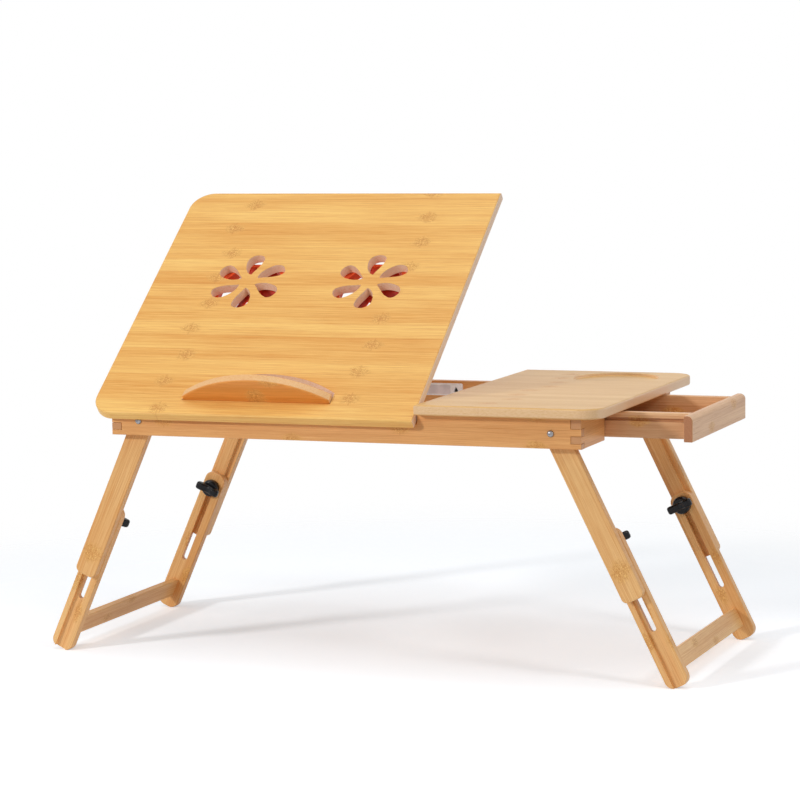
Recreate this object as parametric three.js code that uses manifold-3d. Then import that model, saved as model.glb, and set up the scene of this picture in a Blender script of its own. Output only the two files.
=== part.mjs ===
import * as THREE from 'three';
import { mergeVertices } from 'three/addons/utils/BufferGeometryUtils.js';
import Module from 'manifold-3d';

// A folding bamboo laptop bed table, in millimetres, with +Z up
const wasm = await Module();
wasm.setup();

// Whole table
const tilt_panel_length = 357.7;
const seam_gap = 1.3;
const side_panel_length = 191;
const table_depth = 350;
const side_overhang = 21;
const front_overhang = 10.5;
const back_overhang = 24.5;
const frame_height = 30;
const board = 10.5;
const seat = 0.3;
const running = 0.08;
const overrun = 2;
const board_ease = 1;

// Finger joints of the frame corners, as heights above the frame's bottom
const finger_low = 5.5;
const finger_mid = 12.5;
const finger_high = 20;

// Top panels
const panel_corner = 25;
const panel_ease = 2.2;
const tilt = THREE.MathUtils.degToRad(37.5);
const cup_radius = 45;
const cup_depth = 3;
const cup_inset_right = 70;
const cup_inset_back = 60.5;

// Right end and drawer
const end_return = 77;
const drawer_gap = 1;
const drawer_open = 87;
const drawer_back_gap = 4.2;
const drawer_wall = 9;
const drawer_bottom_height = 3.3;
const drawer_top_gap = 1;
const drawer_front_overlap = 23.5;
const drawer_front_top_gap = 0.7;
const drawer_front_round = 5.5;
const drawer_floor = 3;
const drawer_floor_lift = 2.5;
const groove_drop = 10;
const groove_width = 3.3;
const groove_depth = 3.5;
const runner_width = 9;
const runner_drop = 12;
const divider_inset = 60;

// Legs, measured from the pivot along the leg
const left_splay = THREE.MathUtils.degToRad(24);
const right_splay = THREE.MathUtils.degToRad(26.3);
const pivot_drop = 15;
const leg_width = 23.5;
const upper_length = 182;
const upper_corner = 6;
const channel_width = 12.5;
const channel_depth = 4.2;
const lower_width = 24.3;
const lower_top = 108.4;
const lower_end = 277.4;
const foot_round = 9;
const slot_start = 118;
const slot_length = 100;
const slot_width = 6.4;
const clamp_radius = 2.8;
const clamp_hold = 5;
const leg_ease = 1;
const stretcher_place = 253.4;
const stretcher_height = 21;
const stretcher_thickness = 7;
const tenon = 5;

// Pivot bolts, their nuts and the clamp knobs
const pivot_radius = 2.5;
const pivot_head_radius = 3.4;
const pivot_head_height = 2.2;
const nut_radius = 4.6;
const nut_height = 2.6;
const boss_radius = 9.5;
const boss_height = 8;
const boss_round = 1.6;
const wing_reach = 14;
const wing_rise = 8;
const wing_thickness = 5;
const wing_root = 4;
const wing_round = 3;
const knob_cap = 2;

// Tilt hinges, mortised into the apron and the panel
const hinge_length = 40;
const hinge_inset = 30;
const hinge_pin_radius = 0.75;
const knuckle_radius = 1.6;
const knuckle_relief = 0.4;
const leaf_thickness = 1;
const leaf_width = 8;
const pin_back = 2.2;

// Stopper
const stopper_inset_left = 100;
const stopper_inset_right = 94.7;
const stopper_front = 11.5;
const stopper_rise = 29;
const stopper_end_rise = 4;
const stopper_ease = 2;
const stopper_end_gap = 0.4;
const stopper_arc_gap = 1;
const stopper_pin_radius = 1.5;
const stopper_pin_hold = 8;

// Vents and fans
const vent_places = [[91, 194], [230, 196]];
const petal_count = 6;
const petal_start = 10.5;
const petal_length = 31;
const petal_width = 18.5;
const petal_turn = THREE.MathUtils.degToRad(30.5);
const petal_shares = {
  bulge: [[0.06, 0.32], [0.35, 0.57], [0.65, 0.57]],
  far: [[0.85, 0.57], [1, 0.35], [1, 0.03]],
  inner: [[1, -0.27], [0.92, -0.43], [0.77, -0.43]],
  back: [[0.48, -0.43], [0.26, -0.13], [0, 0]],
};
const fan_size = 78;
const fan_depth = 9.5;
const fan_corner = 10;
const duct_radius = 36;
const motor_radius = 12;
const motor_depth = 1.6;
const spoke_width = 4;
const spoke_count = 3;
const spindle_radius = 1.5;
const hub_radius = 13;
const hub_depth = 7;
const hub_lift = 0.4;
const blade_count = 7;
const blade_reach = 34.5;
const blade_chord = 15;
const blade_thickness = 1.2;
const blade_pitch = THREE.MathUtils.degToRad(24);

// Tilt stay and its toothed catch strip
const stay_pivot_y = 60;
const stay_pivot_drop = 10;
const stay_lean = THREE.MathUtils.degToRad(48.7);
const stay_width = 8;
const stay_thickness = 5.7;
const stay_screw_radius = 2;
const stay_screw_hold = 6;
const stay_head_radius = 3.6;
const stay_head_height = 1.8;
const catch_base = 2;
const catch_tooth = 0.5;
const catch_pitch = 5;
const catch_count = 4;

// Fan control plate on the back rail
const plate_left = 222;
const plate_length = 55;
const plate_height = 13;
const plate_depth = 5.5;
const plate_drop = 15.5;
const plate_corner = 2;
const keyhole_radius = 2.4;
const keyhole_rise = 4.6;
const keyhole_inset = 6.5;

// Places that follow from the sizes above
const panel_bottom = frame_height + seat;
const panel_top = panel_bottom + board;
const panel_left = -side_overhang;
const tilt_panel_right = panel_left + tilt_panel_length;
const seam = tilt_panel_right + seam_gap;
const panel_right = seam + side_panel_length;
const panel_front = -front_overhang;
const panel_back = panel_front + table_depth;
const frame_length = panel_right - side_overhang;
const frame_depth = panel_back - back_overhang;
const pivot_height = frame_height - pivot_drop;
const groove_height = frame_height - groove_drop;
const stay_pivot_z = frame_height - stay_pivot_drop;
const plate_bottom = frame_height - plate_drop;
const stopper_left = panel_left + stopper_inset_left;
const stopper_length = tilt_panel_right - stopper_inset_right - stopper_left;
const pin_y = board + pin_back;
const pin_z = frame_height + seat / 2;
const upper_outer = board + seat;
const upper_inner = upper_outer + board;
const tongue_face = upper_inner + channel_depth;
const lower_outer = upper_inner + seat;
const lower_inner = lower_outer + board;
const knob_face = lower_inner + seat;
const clamp_place = slot_start + slot_width / 2;
const foot_line = lower_end - foot_round;
const foot_side = lower_width / 2 - foot_round;
const left_lift = (foot_drop(left_splay) - foot_drop(right_splay)) / Math.cos(left_splay);
const left_pivot = pivot_inset(left_splay);
const right_pivot = frame_length - pivot_inset(right_splay);
const leftmost = left_pivot - foot_reach(left_splay, left_lift);
const drawer_reach = frame_length + seat + drawer_open + drawer_wall;
const rightmost = Math.max(drawer_reach, right_pivot + foot_reach(right_splay, 0));
const centre_x = (leftmost + rightmost) / 2;
const stopper_reach = pin_y + (stopper_front + stopper_ease - pin_y) * Math.cos(tilt)
  - (panel_top + stopper_rise - stopper_ease - pin_z) * Math.sin(tilt) - stopper_ease;
const centre_y = (Math.min(panel_front, stopper_reach) + panel_back) / 2;
const ground = pivot_height - foot_drop(right_splay);
const stopper_axis_y = stopper_front + board / 2;
const stopper_axis_z = panel_bottom + board / 2;
const divider_left = seam + seat;
const divider_right = divider_left + board;
const drawer_depth = frame_depth - 2 * (end_return + drawer_gap);
const drawer_length = frame_length - divider_right - drawer_back_gap;
const drawer_front_depth = drawer_depth + 2 * drawer_front_overlap;

// Where a leg's pivot and foot stand for its splay
function pivot_inset(splay) {
  return board + (leg_width / 2 + seat + pivot_height * Math.sin(splay)) / Math.cos(splay);
}

function foot_drop(splay) {
  return foot_line * Math.cos(splay) + foot_side * Math.sin(splay) + foot_round;
}

function foot_reach(splay, lift) {
  return (foot_line - lift) * Math.sin(splay) + foot_side * Math.cos(splay) + foot_round;
}

// Directions in which an outline is drawn and carried
const east = new THREE.Vector3(1, 0, 0);
const north = new THREE.Vector3(0, 1, 0);
const up = new THREE.Vector3(0, 0, 1);
const lying = new THREE.Matrix4();
const facing_x = new THREE.Matrix4().makeBasis(north, up, east);
const facing_y = new THREE.Matrix4().makeBasis(east, up, north.clone().negate());

// Finishes
const honey_bamboo = new THREE.MeshStandardMaterial({ color: 0xf0c37d, roughness: 0.5, metalness: 0 });
const frame_bamboo = new THREE.MeshStandardMaterial({ color: 0xd9a46a, roughness: 0.55, metalness: 0 });
const leg_bamboo = new THREE.MeshStandardMaterial({ color: 0xe3b87f, roughness: 0.55, metalness: 0 });
const drawer_bamboo = new THREE.MeshStandardMaterial({ color: 0xd99d5e, roughness: 0.55, metalness: 0 });
const bright_steel = new THREE.MeshStandardMaterial({ color: 0xb9bbc0, roughness: 0.3, metalness: 1 });
const hinge_brass = new THREE.MeshStandardMaterial({ color: 0xb9985a, roughness: 0.35, metalness: 1 });
const black_plastic = new THREE.MeshStandardMaterial({ color: 0x17161a, roughness: 0.4, metalness: 0 });
const red_plastic = new THREE.MeshStandardMaterial({ color: 0xcf2a12, roughness: 0.4, metalness: 0 });
const white_plastic = new THREE.MeshStandardMaterial({ color: 0xdedde2, roughness: 0.45, metalness: 0 });

// Solids from three.js geometry, joined and cut
function solid(geometry) {
  const bare = geometry.clone();
  bare.deleteAttribute('normal');
  bare.deleteAttribute('uv');
  const merged = mergeVertices(bare);
  return new wasm.Manifold(new wasm.Mesh({
    numProp: 3,
    vertProperties: new Float32Array(merged.attributes.position.array),
    triVerts: new Uint32Array(merged.index.array),
  }));
}

function join(...solids) {
  return solids.reduce((whole, piece) => whole.add(piece));
}

function cut(whole, ...tools) {
  return tools.reduce((rest, tool) => rest.subtract(tool), whole);
}

function part(name, material, body) {
  const mesh = body.getMesh();
  const geometry = new THREE.BufferGeometry();
  geometry.setAttribute('position', new THREE.BufferAttribute(mesh.vertProperties, 3));
  geometry.setIndex(new THREE.BufferAttribute(mesh.triVerts, 1));
  geometry.computeVertexNormals();
  const piece = new THREE.Mesh(geometry, material);
  piece.name = name;
  return piece;
}

// An outline carried from low to high along the direction that its frame gives
function carried(shape, low, high, frame, ease = 0, curves = 4) {
  const geometry = new THREE.ExtrudeGeometry(shape, {
    depth: high - low - 2 * ease,
    curveSegments: curves,
    bevelEnabled: ease > 0,
    bevelThickness: ease,
    bevelSize: ease,
    bevelOffset: -ease,
    bevelSegments: 2,
  });
  geometry.translate(0, 0, low + ease);
  geometry.applyMatrix4(frame);
  return solid(geometry);
}

function plate(shape, low, high, ease, curves) {
  return carried(shape, low, high, lying, ease, curves);
}

function bar(shape, low, high, ease, curves) {
  return carried(shape, low, high, facing_x, ease, curves);
}

function slab(shape, low, high, ease, curves) {
  return carried(shape, -high, -low, facing_y, ease, curves);
}

function block(x0, x1, y0, y1, z0, z1) {
  const geometry = new THREE.BoxGeometry(x1 - x0, y1 - y0, z1 - z0);
  geometry.translate((x0 + x1) / 2, (y0 + y1) / 2, (z0 + z1) / 2);
  return solid(geometry);
}

// A round bar along X, Y or Z, from low to high, about two fixed coordinates
function round_x(radius, low, high, y, z, sides = 16) {
  const geometry = new THREE.CylinderGeometry(radius, radius, high - low, sides);
  geometry.rotateZ(Math.PI / 2);
  geometry.translate((low + high) / 2, y, z);
  return solid(geometry);
}

function round_y(radius, low, high, x, z, sides = 16) {
  const geometry = new THREE.CylinderGeometry(radius, radius, high - low, sides);
  geometry.translate(x, (low + high) / 2, z);
  return solid(geometry);
}

function round_z(radius, low, high, x, y, sides = 16) {
  const geometry = new THREE.CylinderGeometry(radius, radius, high - low, sides);
  geometry.rotateX(Math.PI / 2);
  geometry.translate(x, y, (low + high) / 2);
  return solid(geometry);
}

// A rectangle whose four corner radii start at the low corner and go round
function rectangle(x0, y0, x1, y1, radii) {
  const [a, b, c, d] = Array.isArray(radii) ? radii : [radii, radii, radii, radii];
  const shape = new THREE.Shape();
  shape.moveTo(x0 + a, y0);
  shape.lineTo(x1 - b, y0);
  if (b > 0) shape.absarc(x1 - b, y0 + b, b, -Math.PI / 2, 0, false);
  shape.lineTo(x1, y1 - c);
  if (c > 0) shape.absarc(x1 - c, y1 - c, c, 0, Math.PI / 2, false);
  shape.lineTo(x0 + d, y1);
  if (d > 0) shape.absarc(x0 + d, y1 - d, d, Math.PI / 2, Math.PI, false);
  shape.lineTo(x0, y0 + a);
  if (a > 0) shape.absarc(x0 + a, y0 + a, a, Math.PI, Math.PI * 1.5, false);
  return shape;
}

// Underside of the tilted panel above a place y, and the wedge that it needs
function tilted_underside(y) {
  const gap = panel_bottom - pin_z - seat;
  return pin_z + (gap + (y - pin_y) * Math.sin(tilt)) / Math.cos(tilt);
}

function tilt_relief(x0, x1) {
  const back = pin_y + board;
  const wedge = new THREE.Shape();
  wedge.moveTo(-overrun, tilted_underside(-overrun));
  wedge.lineTo(back, tilted_underside(back));
  wedge.lineTo(-overrun, tilted_underside(back));
  return bar(wedge, x0, x1);
}

// Notches at one corner, for the fingers of the other board
function apron_notches(x0, x1, y0, y1) {
  return [
    block(x0, x1, y0, y1, finger_low - seat / 2, finger_mid + seat / 2),
    block(x0, x1, y0, y1, finger_high - seat / 2, frame_height + overrun),
  ];
}

function rail_notches(x0, x1, y0, y1) {
  return [
    block(x0, x1, y0, y1, -overrun, finger_low + seat / 2),
    block(x0, x1, y0, y1, finger_mid - seat / 2, finger_high + seat / 2),
  ];
}

// Long board along X between two places, notched at both ends
function long_board(y0) {
  const y1 = y0 + board;
  const body = bar(rectangle(y0, 0, y1, frame_height, board_ease), 0, frame_length, 0, 2);
  const reach = board + seat;
  return cut(
    body,
    ...apron_notches(-overrun, reach, y0 - overrun, y1 + overrun),
    ...apron_notches(frame_length - reach, frame_length + overrun, y0 - overrun, y1 + overrun),
  );
}

function end_board(x0, y0, y1) {
  return slab(rectangle(x0, 0, x0 + board, frame_height, board_ease), y0, y1, 0, 2);
}

function front_apron() {
  const hinge_cuts = hinge_places().map((x) => block(
    x - hinge_length / 2 - seat,
    x + hinge_length / 2 + seat,
    board - leaf_thickness - seat,
    board + overrun,
    tilted_underside(board - leaf_thickness) - leaf_width - seat,
    frame_height + overrun,
  ));
  const bolt_bores = pivot_places().map((x) => round_y(
    pivot_radius + seat / 2, -overrun, board + overrun, x, pivot_height));
  return part('front_apron', frame_bamboo, cut(
    long_board(0), tilt_relief(-overrun, seam), ...hinge_cuts, ...bolt_bores));
}

function back_rail() {
  const y0 = frame_depth - board;
  const bolt_bores = pivot_places().map((x) => round_y(
    pivot_radius + seat / 2, y0 - overrun, frame_depth + overrun, x, pivot_height));
  return part('back_rail', frame_bamboo, cut(long_board(y0), ...bolt_bores));
}

function left_end_rail() {
  const reach = board + seat;
  const body = end_board(0, 0, frame_depth);
  return part('left_end_rail', frame_bamboo, cut(
    body,
    ...rail_notches(-overrun, board + overrun, -overrun, reach),
    ...rail_notches(-overrun, board + overrun, frame_depth - reach, frame_depth + overrun),
    tilt_relief(-overrun, seam),
    round_x(stay_screw_radius + seat / 2, board - stay_screw_hold, board + overrun,
      stay_pivot_y, stay_pivot_z),
  ));
}

function right_end_front() {
  const x0 = frame_length - board;
  return part('right_end_front', frame_bamboo, cut(
    end_board(x0, 0, end_return),
    ...rail_notches(x0 - overrun, frame_length + overrun, -overrun, board + seat),
  ));
}

function right_end_back() {
  const x0 = frame_length - board;
  return part('right_end_back', frame_bamboo, cut(
    end_board(x0, frame_depth - end_return, frame_depth),
    ...rail_notches(
      x0 - overrun, frame_length + overrun, frame_depth - board - seat, frame_depth + overrun),
  ));
}

function side_panel() {
  const outline = rectangle(
    seam, panel_front, panel_right, panel_back, [0, panel_corner, panel_corner, 0]);
  return part('side_panel', honey_bamboo, cut(
    plate(outline, panel_bottom, panel_top, panel_ease, 6),
    round_z(cup_radius, panel_top - cup_depth, panel_top + overrun,
      panel_right - cup_inset_right, panel_back - cup_inset_back, 48),
  ));
}

function middle_divider() {
  const outline = rectangle(divider_left, 0, divider_right, frame_height, board_ease);
  return part('middle_divider', frame_bamboo, slab(
    outline, divider_inset, frame_depth - divider_inset, 0, 2));
}

// Runner batten under the side panel, with a tongue in the drawer side's groove
function drawer_runner(name, side) {
  const x0 = divider_right + seat;
  const x1 = frame_length - board - seat;
  const inner = depth_place(side, end_return);
  const outer = inner - side * runner_width;
  const tongue_end = inner + side * (drawer_gap + groove_depth - seat);
  const batten = block(
    x0, x1, Math.min(inner, outer), Math.max(inner, outer),
    frame_height - runner_drop, frame_height);
  const tongue = block(
    x0, x1, Math.min(outer, tongue_end), Math.max(outer, tongue_end),
    groove_height + seat, groove_height + groove_width - seat);
  return part(name, frame_bamboo, join(batten, tongue));
}

// Drawer, drawn where it stands when shut
function drawer() {
  const group = new THREE.Group();
  const x1 = frame_length;
  const x0 = x1 - drawer_length;
  const y0 = end_return + drawer_gap;
  const y1 = y0 + drawer_depth;
  const z0 = drawer_bottom_height;
  const z1 = frame_height - drawer_top_gap;
  const side_board = (name, low, side) => {
    const groove_low = side > 0 ? low - overrun : low + drawer_wall - groove_depth;
    return part(name, drawer_bamboo, cut(
      bar(rectangle(low, z0, low + drawer_wall, z1, board_ease), x0, x1, 0, 2),
      block(x0 - overrun, x1 + overrun, groove_low, groove_low + groove_depth + overrun,
        groove_height, groove_height + groove_width),
    ));
  };
  const middle = (y0 + y1) / 2;
  const front_z1 = frame_height - drawer_front_top_gap;
  const face = rectangle(
    x1 + seat, z0, x1 + seat + drawer_wall, front_z1,
    [board_ease, board_ease, drawer_front_round, board_ease]);
  const floor_low = z0 + drawer_floor_lift;
  group.add(
    side_board('drawer_side_front', y0, 1),
    side_board('drawer_side_back', y1 - drawer_wall, -1),
    part('drawer_back_board', drawer_bamboo, slab(
      rectangle(x0, z0, x0 + drawer_wall, z1, board_ease),
      y0 + drawer_wall + seat, y1 - drawer_wall - seat, 0, 2)),
    part('drawer_bottom', drawer_bamboo, block(
      x0 + drawer_wall + seat, x1, y0 + drawer_wall + seat, y1 - drawer_wall - seat,
      floor_low, floor_low + drawer_floor)),
    part('drawer_front_board', drawer_bamboo, slab(
      face, middle - drawer_front_depth / 2, middle + drawer_front_depth / 2, 0, 4)),
  );
  group.position.x = drawer_open;
  return group;
}

// Where the four pivot bolts and the two hinges stand along X
function pivot_places() {
  return [left_pivot, right_pivot];
}

function hinge_places() {
  const half = hinge_length / 2;
  return [hinge_inset + half, seam - hinge_inset - half];
}

// A place measured inwards from the front face, or from the back face when side is negative
function depth_place(side, inwards) {
  return side > 0 ? inwards : frame_depth - inwards;
}

function depth_span(side, outer, inner) {
  const places = [depth_place(side, outer), depth_place(side, inner)];
  return [Math.min(...places), Math.max(...places)];
}

// Domed bolt through frame and leg, with its nut sunk in the leg's tongue
function pivot_bolt(name, x, side) {
  const [s0, s1] = depth_span(side, -seat - pivot_head_height / 2, tongue_face);
  const profile = [
    new THREE.Vector2(0, 0),
    new THREE.Vector2(pivot_head_radius, 0),
    ...new THREE.EllipseCurve(
      0, 0, pivot_head_radius, pivot_head_height, 0, Math.PI / 2).getPoints(4).slice(1, -1),
    new THREE.Vector2(0, pivot_head_height),
  ];
  const dome = new THREE.LatheGeometry(profile, 16);
  dome.rotateZ(side > 0 ? Math.PI : 0);
  dome.translate(x, depth_place(side, -seat), pivot_height);
  return part(name, bright_steel, join(
    round_y(pivot_radius, s0, s1, x, pivot_height), solid(dome)));
}

function pivot_nut(name, x, side) {
  const [y0, y1] = depth_span(side, tongue_face - nut_height, tongue_face);
  return part(name, bright_steel, cut(
    round_y(nut_radius, y0, y1, x, pivot_height, 6),
    round_y(pivot_radius + seat / 2, y0 - overrun, y1 + overrun, x, pivot_height)));
}

// Board outline hanging from top to end, with round corners or a round head
function leg_outline(width, top, end, head, corner) {
  const half = width / 2;
  return rectangle(-half, -end, half, -top, [corner, corner, head, head]);
}

// Upper leg with a raised tongue along the middle of its inner face
function upper_leg(name, side) {
  const half = leg_width / 2;
  const [y0, y1] = depth_span(side, upper_outer, upper_inner);
  const [t0, t1] = depth_span(side, upper_inner - leg_ease, tongue_face);
  const [b0, b1] = depth_span(side, upper_outer - overrun, tongue_face + overrun);
  const [n0, n1] = depth_span(side, tongue_face - nut_height - seat, tongue_face + overrun);
  const [h0, h1] = depth_span(side, upper_inner - clamp_hold, tongue_face + overrun);
  const tongue_half = channel_width / 2 - seat;
  const outline = leg_outline(leg_width, -half, upper_length, half, upper_corner);
  const tongue = slab(outline, t0, t1, 0, 4).intersect(
    block(-tongue_half, tongue_half, b0, b1, -upper_length - overrun, leg_width));
  return part(name, leg_bamboo, cut(
    join(slab(outline, y0, y1, leg_ease, 4), tongue),
    round_y(pivot_radius + running, b0, b1, 0, 0),
    round_y(nut_radius + seat, n0, n1, 0, 0),
    round_y(clamp_radius + seat / 2, h0, h1, 0, -clamp_place),
  ));
}

// Lower leg with a channel for the tongue, a slot in its floor and a mortise behind it
function lower_leg(name, side) {
  const outline = leg_outline(lower_width, lower_top, lower_end, foot_round, foot_round);
  const [y0, y1] = depth_span(side, lower_outer, lower_inner);
  const [c0, c1] = depth_span(side, lower_outer - overrun, lower_outer + channel_depth);
  const [a0, a1] = depth_span(side, lower_outer - overrun, lower_inner + overrun);
  const [m0, m1] = depth_span(side, lower_inner - tenon - seat, lower_inner + overrun);
  const half_slot = slot_width / 2;
  const slot = rectangle(-half_slot, -slot_start - slot_length, half_slot, -slot_start, half_slot);
  const mortise_half = stretcher_thickness / 2 + seat;
  const mortise_reach = stretcher_height / 2 + seat;
  return part(name, leg_bamboo, cut(
    slab(outline, y0, y1, leg_ease, 4),
    block(-channel_width / 2, channel_width / 2, c0, c1,
      -lower_end - overrun, -lower_top + overrun),
    slab(slot, a0, a1, 0, 4),
    block(-mortise_half, mortise_half, m0, m1,
      -stretcher_place - mortise_reach, -stretcher_place + mortise_reach),
  ));
}

function stretcher(name) {
  const half = stretcher_thickness / 2;
  const outline = rectangle(
    -half, -stretcher_place - stretcher_height / 2,
    half, -stretcher_place + stretcher_height / 2, board_ease);
  const inset = lower_inner - tenon;
  return part(name, leg_bamboo, slab(outline, inset, frame_depth - inset, 0, 2));
}

// Threaded stud held in the upper leg, through the lower leg's slot, into the knob
function clamp_stud(name, side) {
  const [y0, y1] = depth_span(
    side, upper_inner - clamp_hold + seat, knob_face + boss_height - knob_cap);
  return part(name, bright_steel, round_y(clamp_radius, y0, y1, 0, -clamp_place));
}

// Wing knob: a round boss with two flared wings that stand up from it
function wing_knob(name, side) {
  const profile = [
    new THREE.Vector2(0, 0),
    new THREE.Vector2(boss_radius, 0),
    new THREE.Vector2(boss_radius, boss_height - boss_round),
    new THREE.Vector2(boss_radius - boss_round, boss_height),
    new THREE.Vector2(0, boss_height),
  ];
  const boss = solid(new THREE.LatheGeometry(profile, 24));
  const crown = boss_height + wing_rise;
  const wings = new THREE.Shape();
  wings.moveTo(-boss_radius + boss_round, boss_height / 2);
  wings.lineTo(boss_radius - boss_round, boss_height / 2);
  wings.lineTo(wing_reach, crown - wing_round);
  wings.absarc(wing_reach - wing_round, crown - wing_round, wing_round, 0, Math.PI / 2, false);
  wings.lineTo(wing_reach - 2 * wing_round, crown);
  wings.lineTo(wing_root, boss_height);
  wings.lineTo(-wing_root, boss_height);
  wings.lineTo(-wing_reach + 2 * wing_round, crown);
  wings.absarc(
    -wing_reach + wing_round, crown - wing_round, wing_round, Math.PI / 2, Math.PI, false);
  const half = wing_thickness / 2;
  const blade = plate(wings, -half, half, board_ease, 2);
  const bore = solid(new THREE.CylinderGeometry(
    clamp_radius + running, clamp_radius + running, 2 * (boss_height - knob_cap + seat), 16));
  const knob = part(name, black_plastic, cut(join(boss, blade), bore));
  knob.position.set(0, depth_place(side, knob_face), -clamp_place);
  knob.rotation.set(side > 0 ? 0 : Math.PI, 0, 0);
  return knob;
}

// One side's pair of telescoping legs, with the feet slid in by a lift along the leg
function leg_pair(side_name, x, lean, lift) {
  const group = new THREE.Group();
  const feet = new THREE.Group();
  group.name = `${side_name}_pivot`;
  for (const [end_name, side] of [['front', 1], ['back', -1]]) {
    const stem = `${side_name}_${end_name}`;
    group.add(
      upper_leg(`${stem}_upper_leg`, side),
      clamp_stud(`${stem}_clamp_stud`, side),
      wing_knob(`${stem}_wing_knob`, side),
    );
    feet.add(lower_leg(`${stem}_lower_leg`, side));
  }
  feet.add(stretcher(`${side_name}_stretcher`));
  feet.position.z = lift;
  group.add(feet);
  group.position.set(x, 0, pivot_height);
  group.rotation.y = lean;
  return group;
}

// Knuckle with the web that ties it to its leaf, between two places along X
function knuckle(low, high, web) {
  return cut(
    join(round_x(knuckle_radius, low, high, pin_y, pin_z), bar(web, low, high)),
    round_x(hinge_pin_radius + running, low - overrun, high + overrun, pin_y, pin_z, 12),
  );
}

function hinge_thirds(x) {
  const low = x - hinge_length / 2;
  const third = hinge_length / 3;
  return [low, low + third, low + 2 * third, low + hinge_length];
}

function apron_leaf(name, x) {
  const [a, b, c, d] = hinge_thirds(x);
  const face = board - seat / 2;
  const inner = face - leaf_thickness;
  const top = tilted_underside(inner);
  const bottom = top - leaf_width;
  const corner = knuckle_radius * Math.SQRT1_2;
  const web = new THREE.Shape();
  web.moveTo(inner, top - leaf_thickness / 2);
  web.lineTo(face, top - leaf_thickness / 2);
  web.lineTo(pin_y, pin_z - knuckle_radius);
  web.lineTo(pin_y - corner, pin_z - corner);
  web.lineTo(inner, top);
  const leaf = block(a, d, inner, face, bottom, top);
  return part(name, hinge_brass, join(
    leaf, knuckle(a, b - seat, web), knuckle(c + seat, d, web)));
}

function panel_leaf(name, x) {
  const [a, b, c, d] = hinge_thirds(x);
  const low = panel_bottom + seat / 2;
  const high = low + leaf_thickness;
  const front = pin_y + knuckle_radius + seat;
  const web = new THREE.Shape();
  web.moveTo(pin_y, pin_z);
  web.lineTo(pin_y + knuckle_radius / 2, pin_z - knuckle_radius / 2);
  web.lineTo(front + leaf_thickness, low);
  web.lineTo(front + leaf_thickness, high);
  web.lineTo(pin_y, pin_z + knuckle_radius);
  const leaf = block(a, d, front, front + leaf_width, low, high);
  return part(name, hinge_brass, join(leaf, knuckle(b, c, web)));
}

function hinge_pin(name, x) {
  const half = hinge_length / 2;
  return part(name, bright_steel, round_x(hinge_pin_radius, x - half, x + half, pin_y, pin_z, 12));
}

// Stopper outline: a low arch that stands on the line of its pins
const arch_half = stopper_length / 2;
const arch_sagitta = stopper_rise - stopper_end_rise;
const arch_radius = (arch_half ** 2 + arch_sagitta ** 2) / (2 * arch_sagitta);
const arch_angle = Math.asin(arch_half / arch_radius);
const stopper_middle = stopper_left + arch_half;
const axis_depth = panel_top - stopper_axis_z;

function arch(end_gap, arc_gap, base, crown) {
  const left = stopper_left - end_gap;
  const right = stopper_left + stopper_length + end_gap;
  const shape = new THREE.Shape();
  shape.moveTo(left, base);
  shape.lineTo(right, base);
  shape.absarc(
    stopper_middle, crown - arch_radius, arch_radius + arc_gap,
    Math.PI / 2 - arch_angle, Math.PI / 2 + arch_angle, false);
  return shape;
}

function stopper() {
  const crown = panel_top + stopper_rise;
  const right = stopper_left + stopper_length;
  const body = slab(
    arch(0, 0, stopper_axis_z - stopper_ease, crown),
    stopper_front, stopper_front + board, stopper_ease, 12);
  const foot = round_x(
    board / 2, stopper_left, right, stopper_axis_y, stopper_axis_z, 24);
  const reach = stopper_pin_hold + seat;
  const bore = stopper_pin_radius + running;
  return part('stopper', honey_bamboo, cut(
    join(body, foot),
    round_x(bore, stopper_left - overrun, stopper_left + reach, stopper_axis_y, stopper_axis_z),
    round_x(bore, right - reach, right + overrun, stopper_axis_y, stopper_axis_z),
  ));
}

function stopper_pin(name, edge) {
  return part(name, bright_steel, round_x(
    stopper_pin_radius, edge - stopper_pin_hold, edge + stopper_pin_hold,
    stopper_axis_y, stopper_axis_z));
}

// One teardrop slot of a vent, in shares of its length and width, pointing along X
function petal() {
  const at = ([along, across]) => [petal_start + along * petal_length, across * petal_width];
  const shape = new THREE.Shape();
  shape.moveTo(petal_start, 0);
  for (const stretch of Object.values(petal_shares)) {
    shape.bezierCurveTo(...stretch.flatMap(at));
  }
  return shape;
}

function vent_petals([x, y]) {
  const petals = [];
  for (let i = 0; i < petal_count; i += 1) {
    const geometry = new THREE.ExtrudeGeometry(petal(), {
      depth: board + 2 * overrun, curveSegments: 5, bevelEnabled: false });
    geometry.rotateZ(petal_turn + (i * 2 * Math.PI) / petal_count);
    geometry.translate(x, y, panel_bottom - overrun);
    petals.push(solid(geometry));
  }
  return petals;
}

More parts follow.
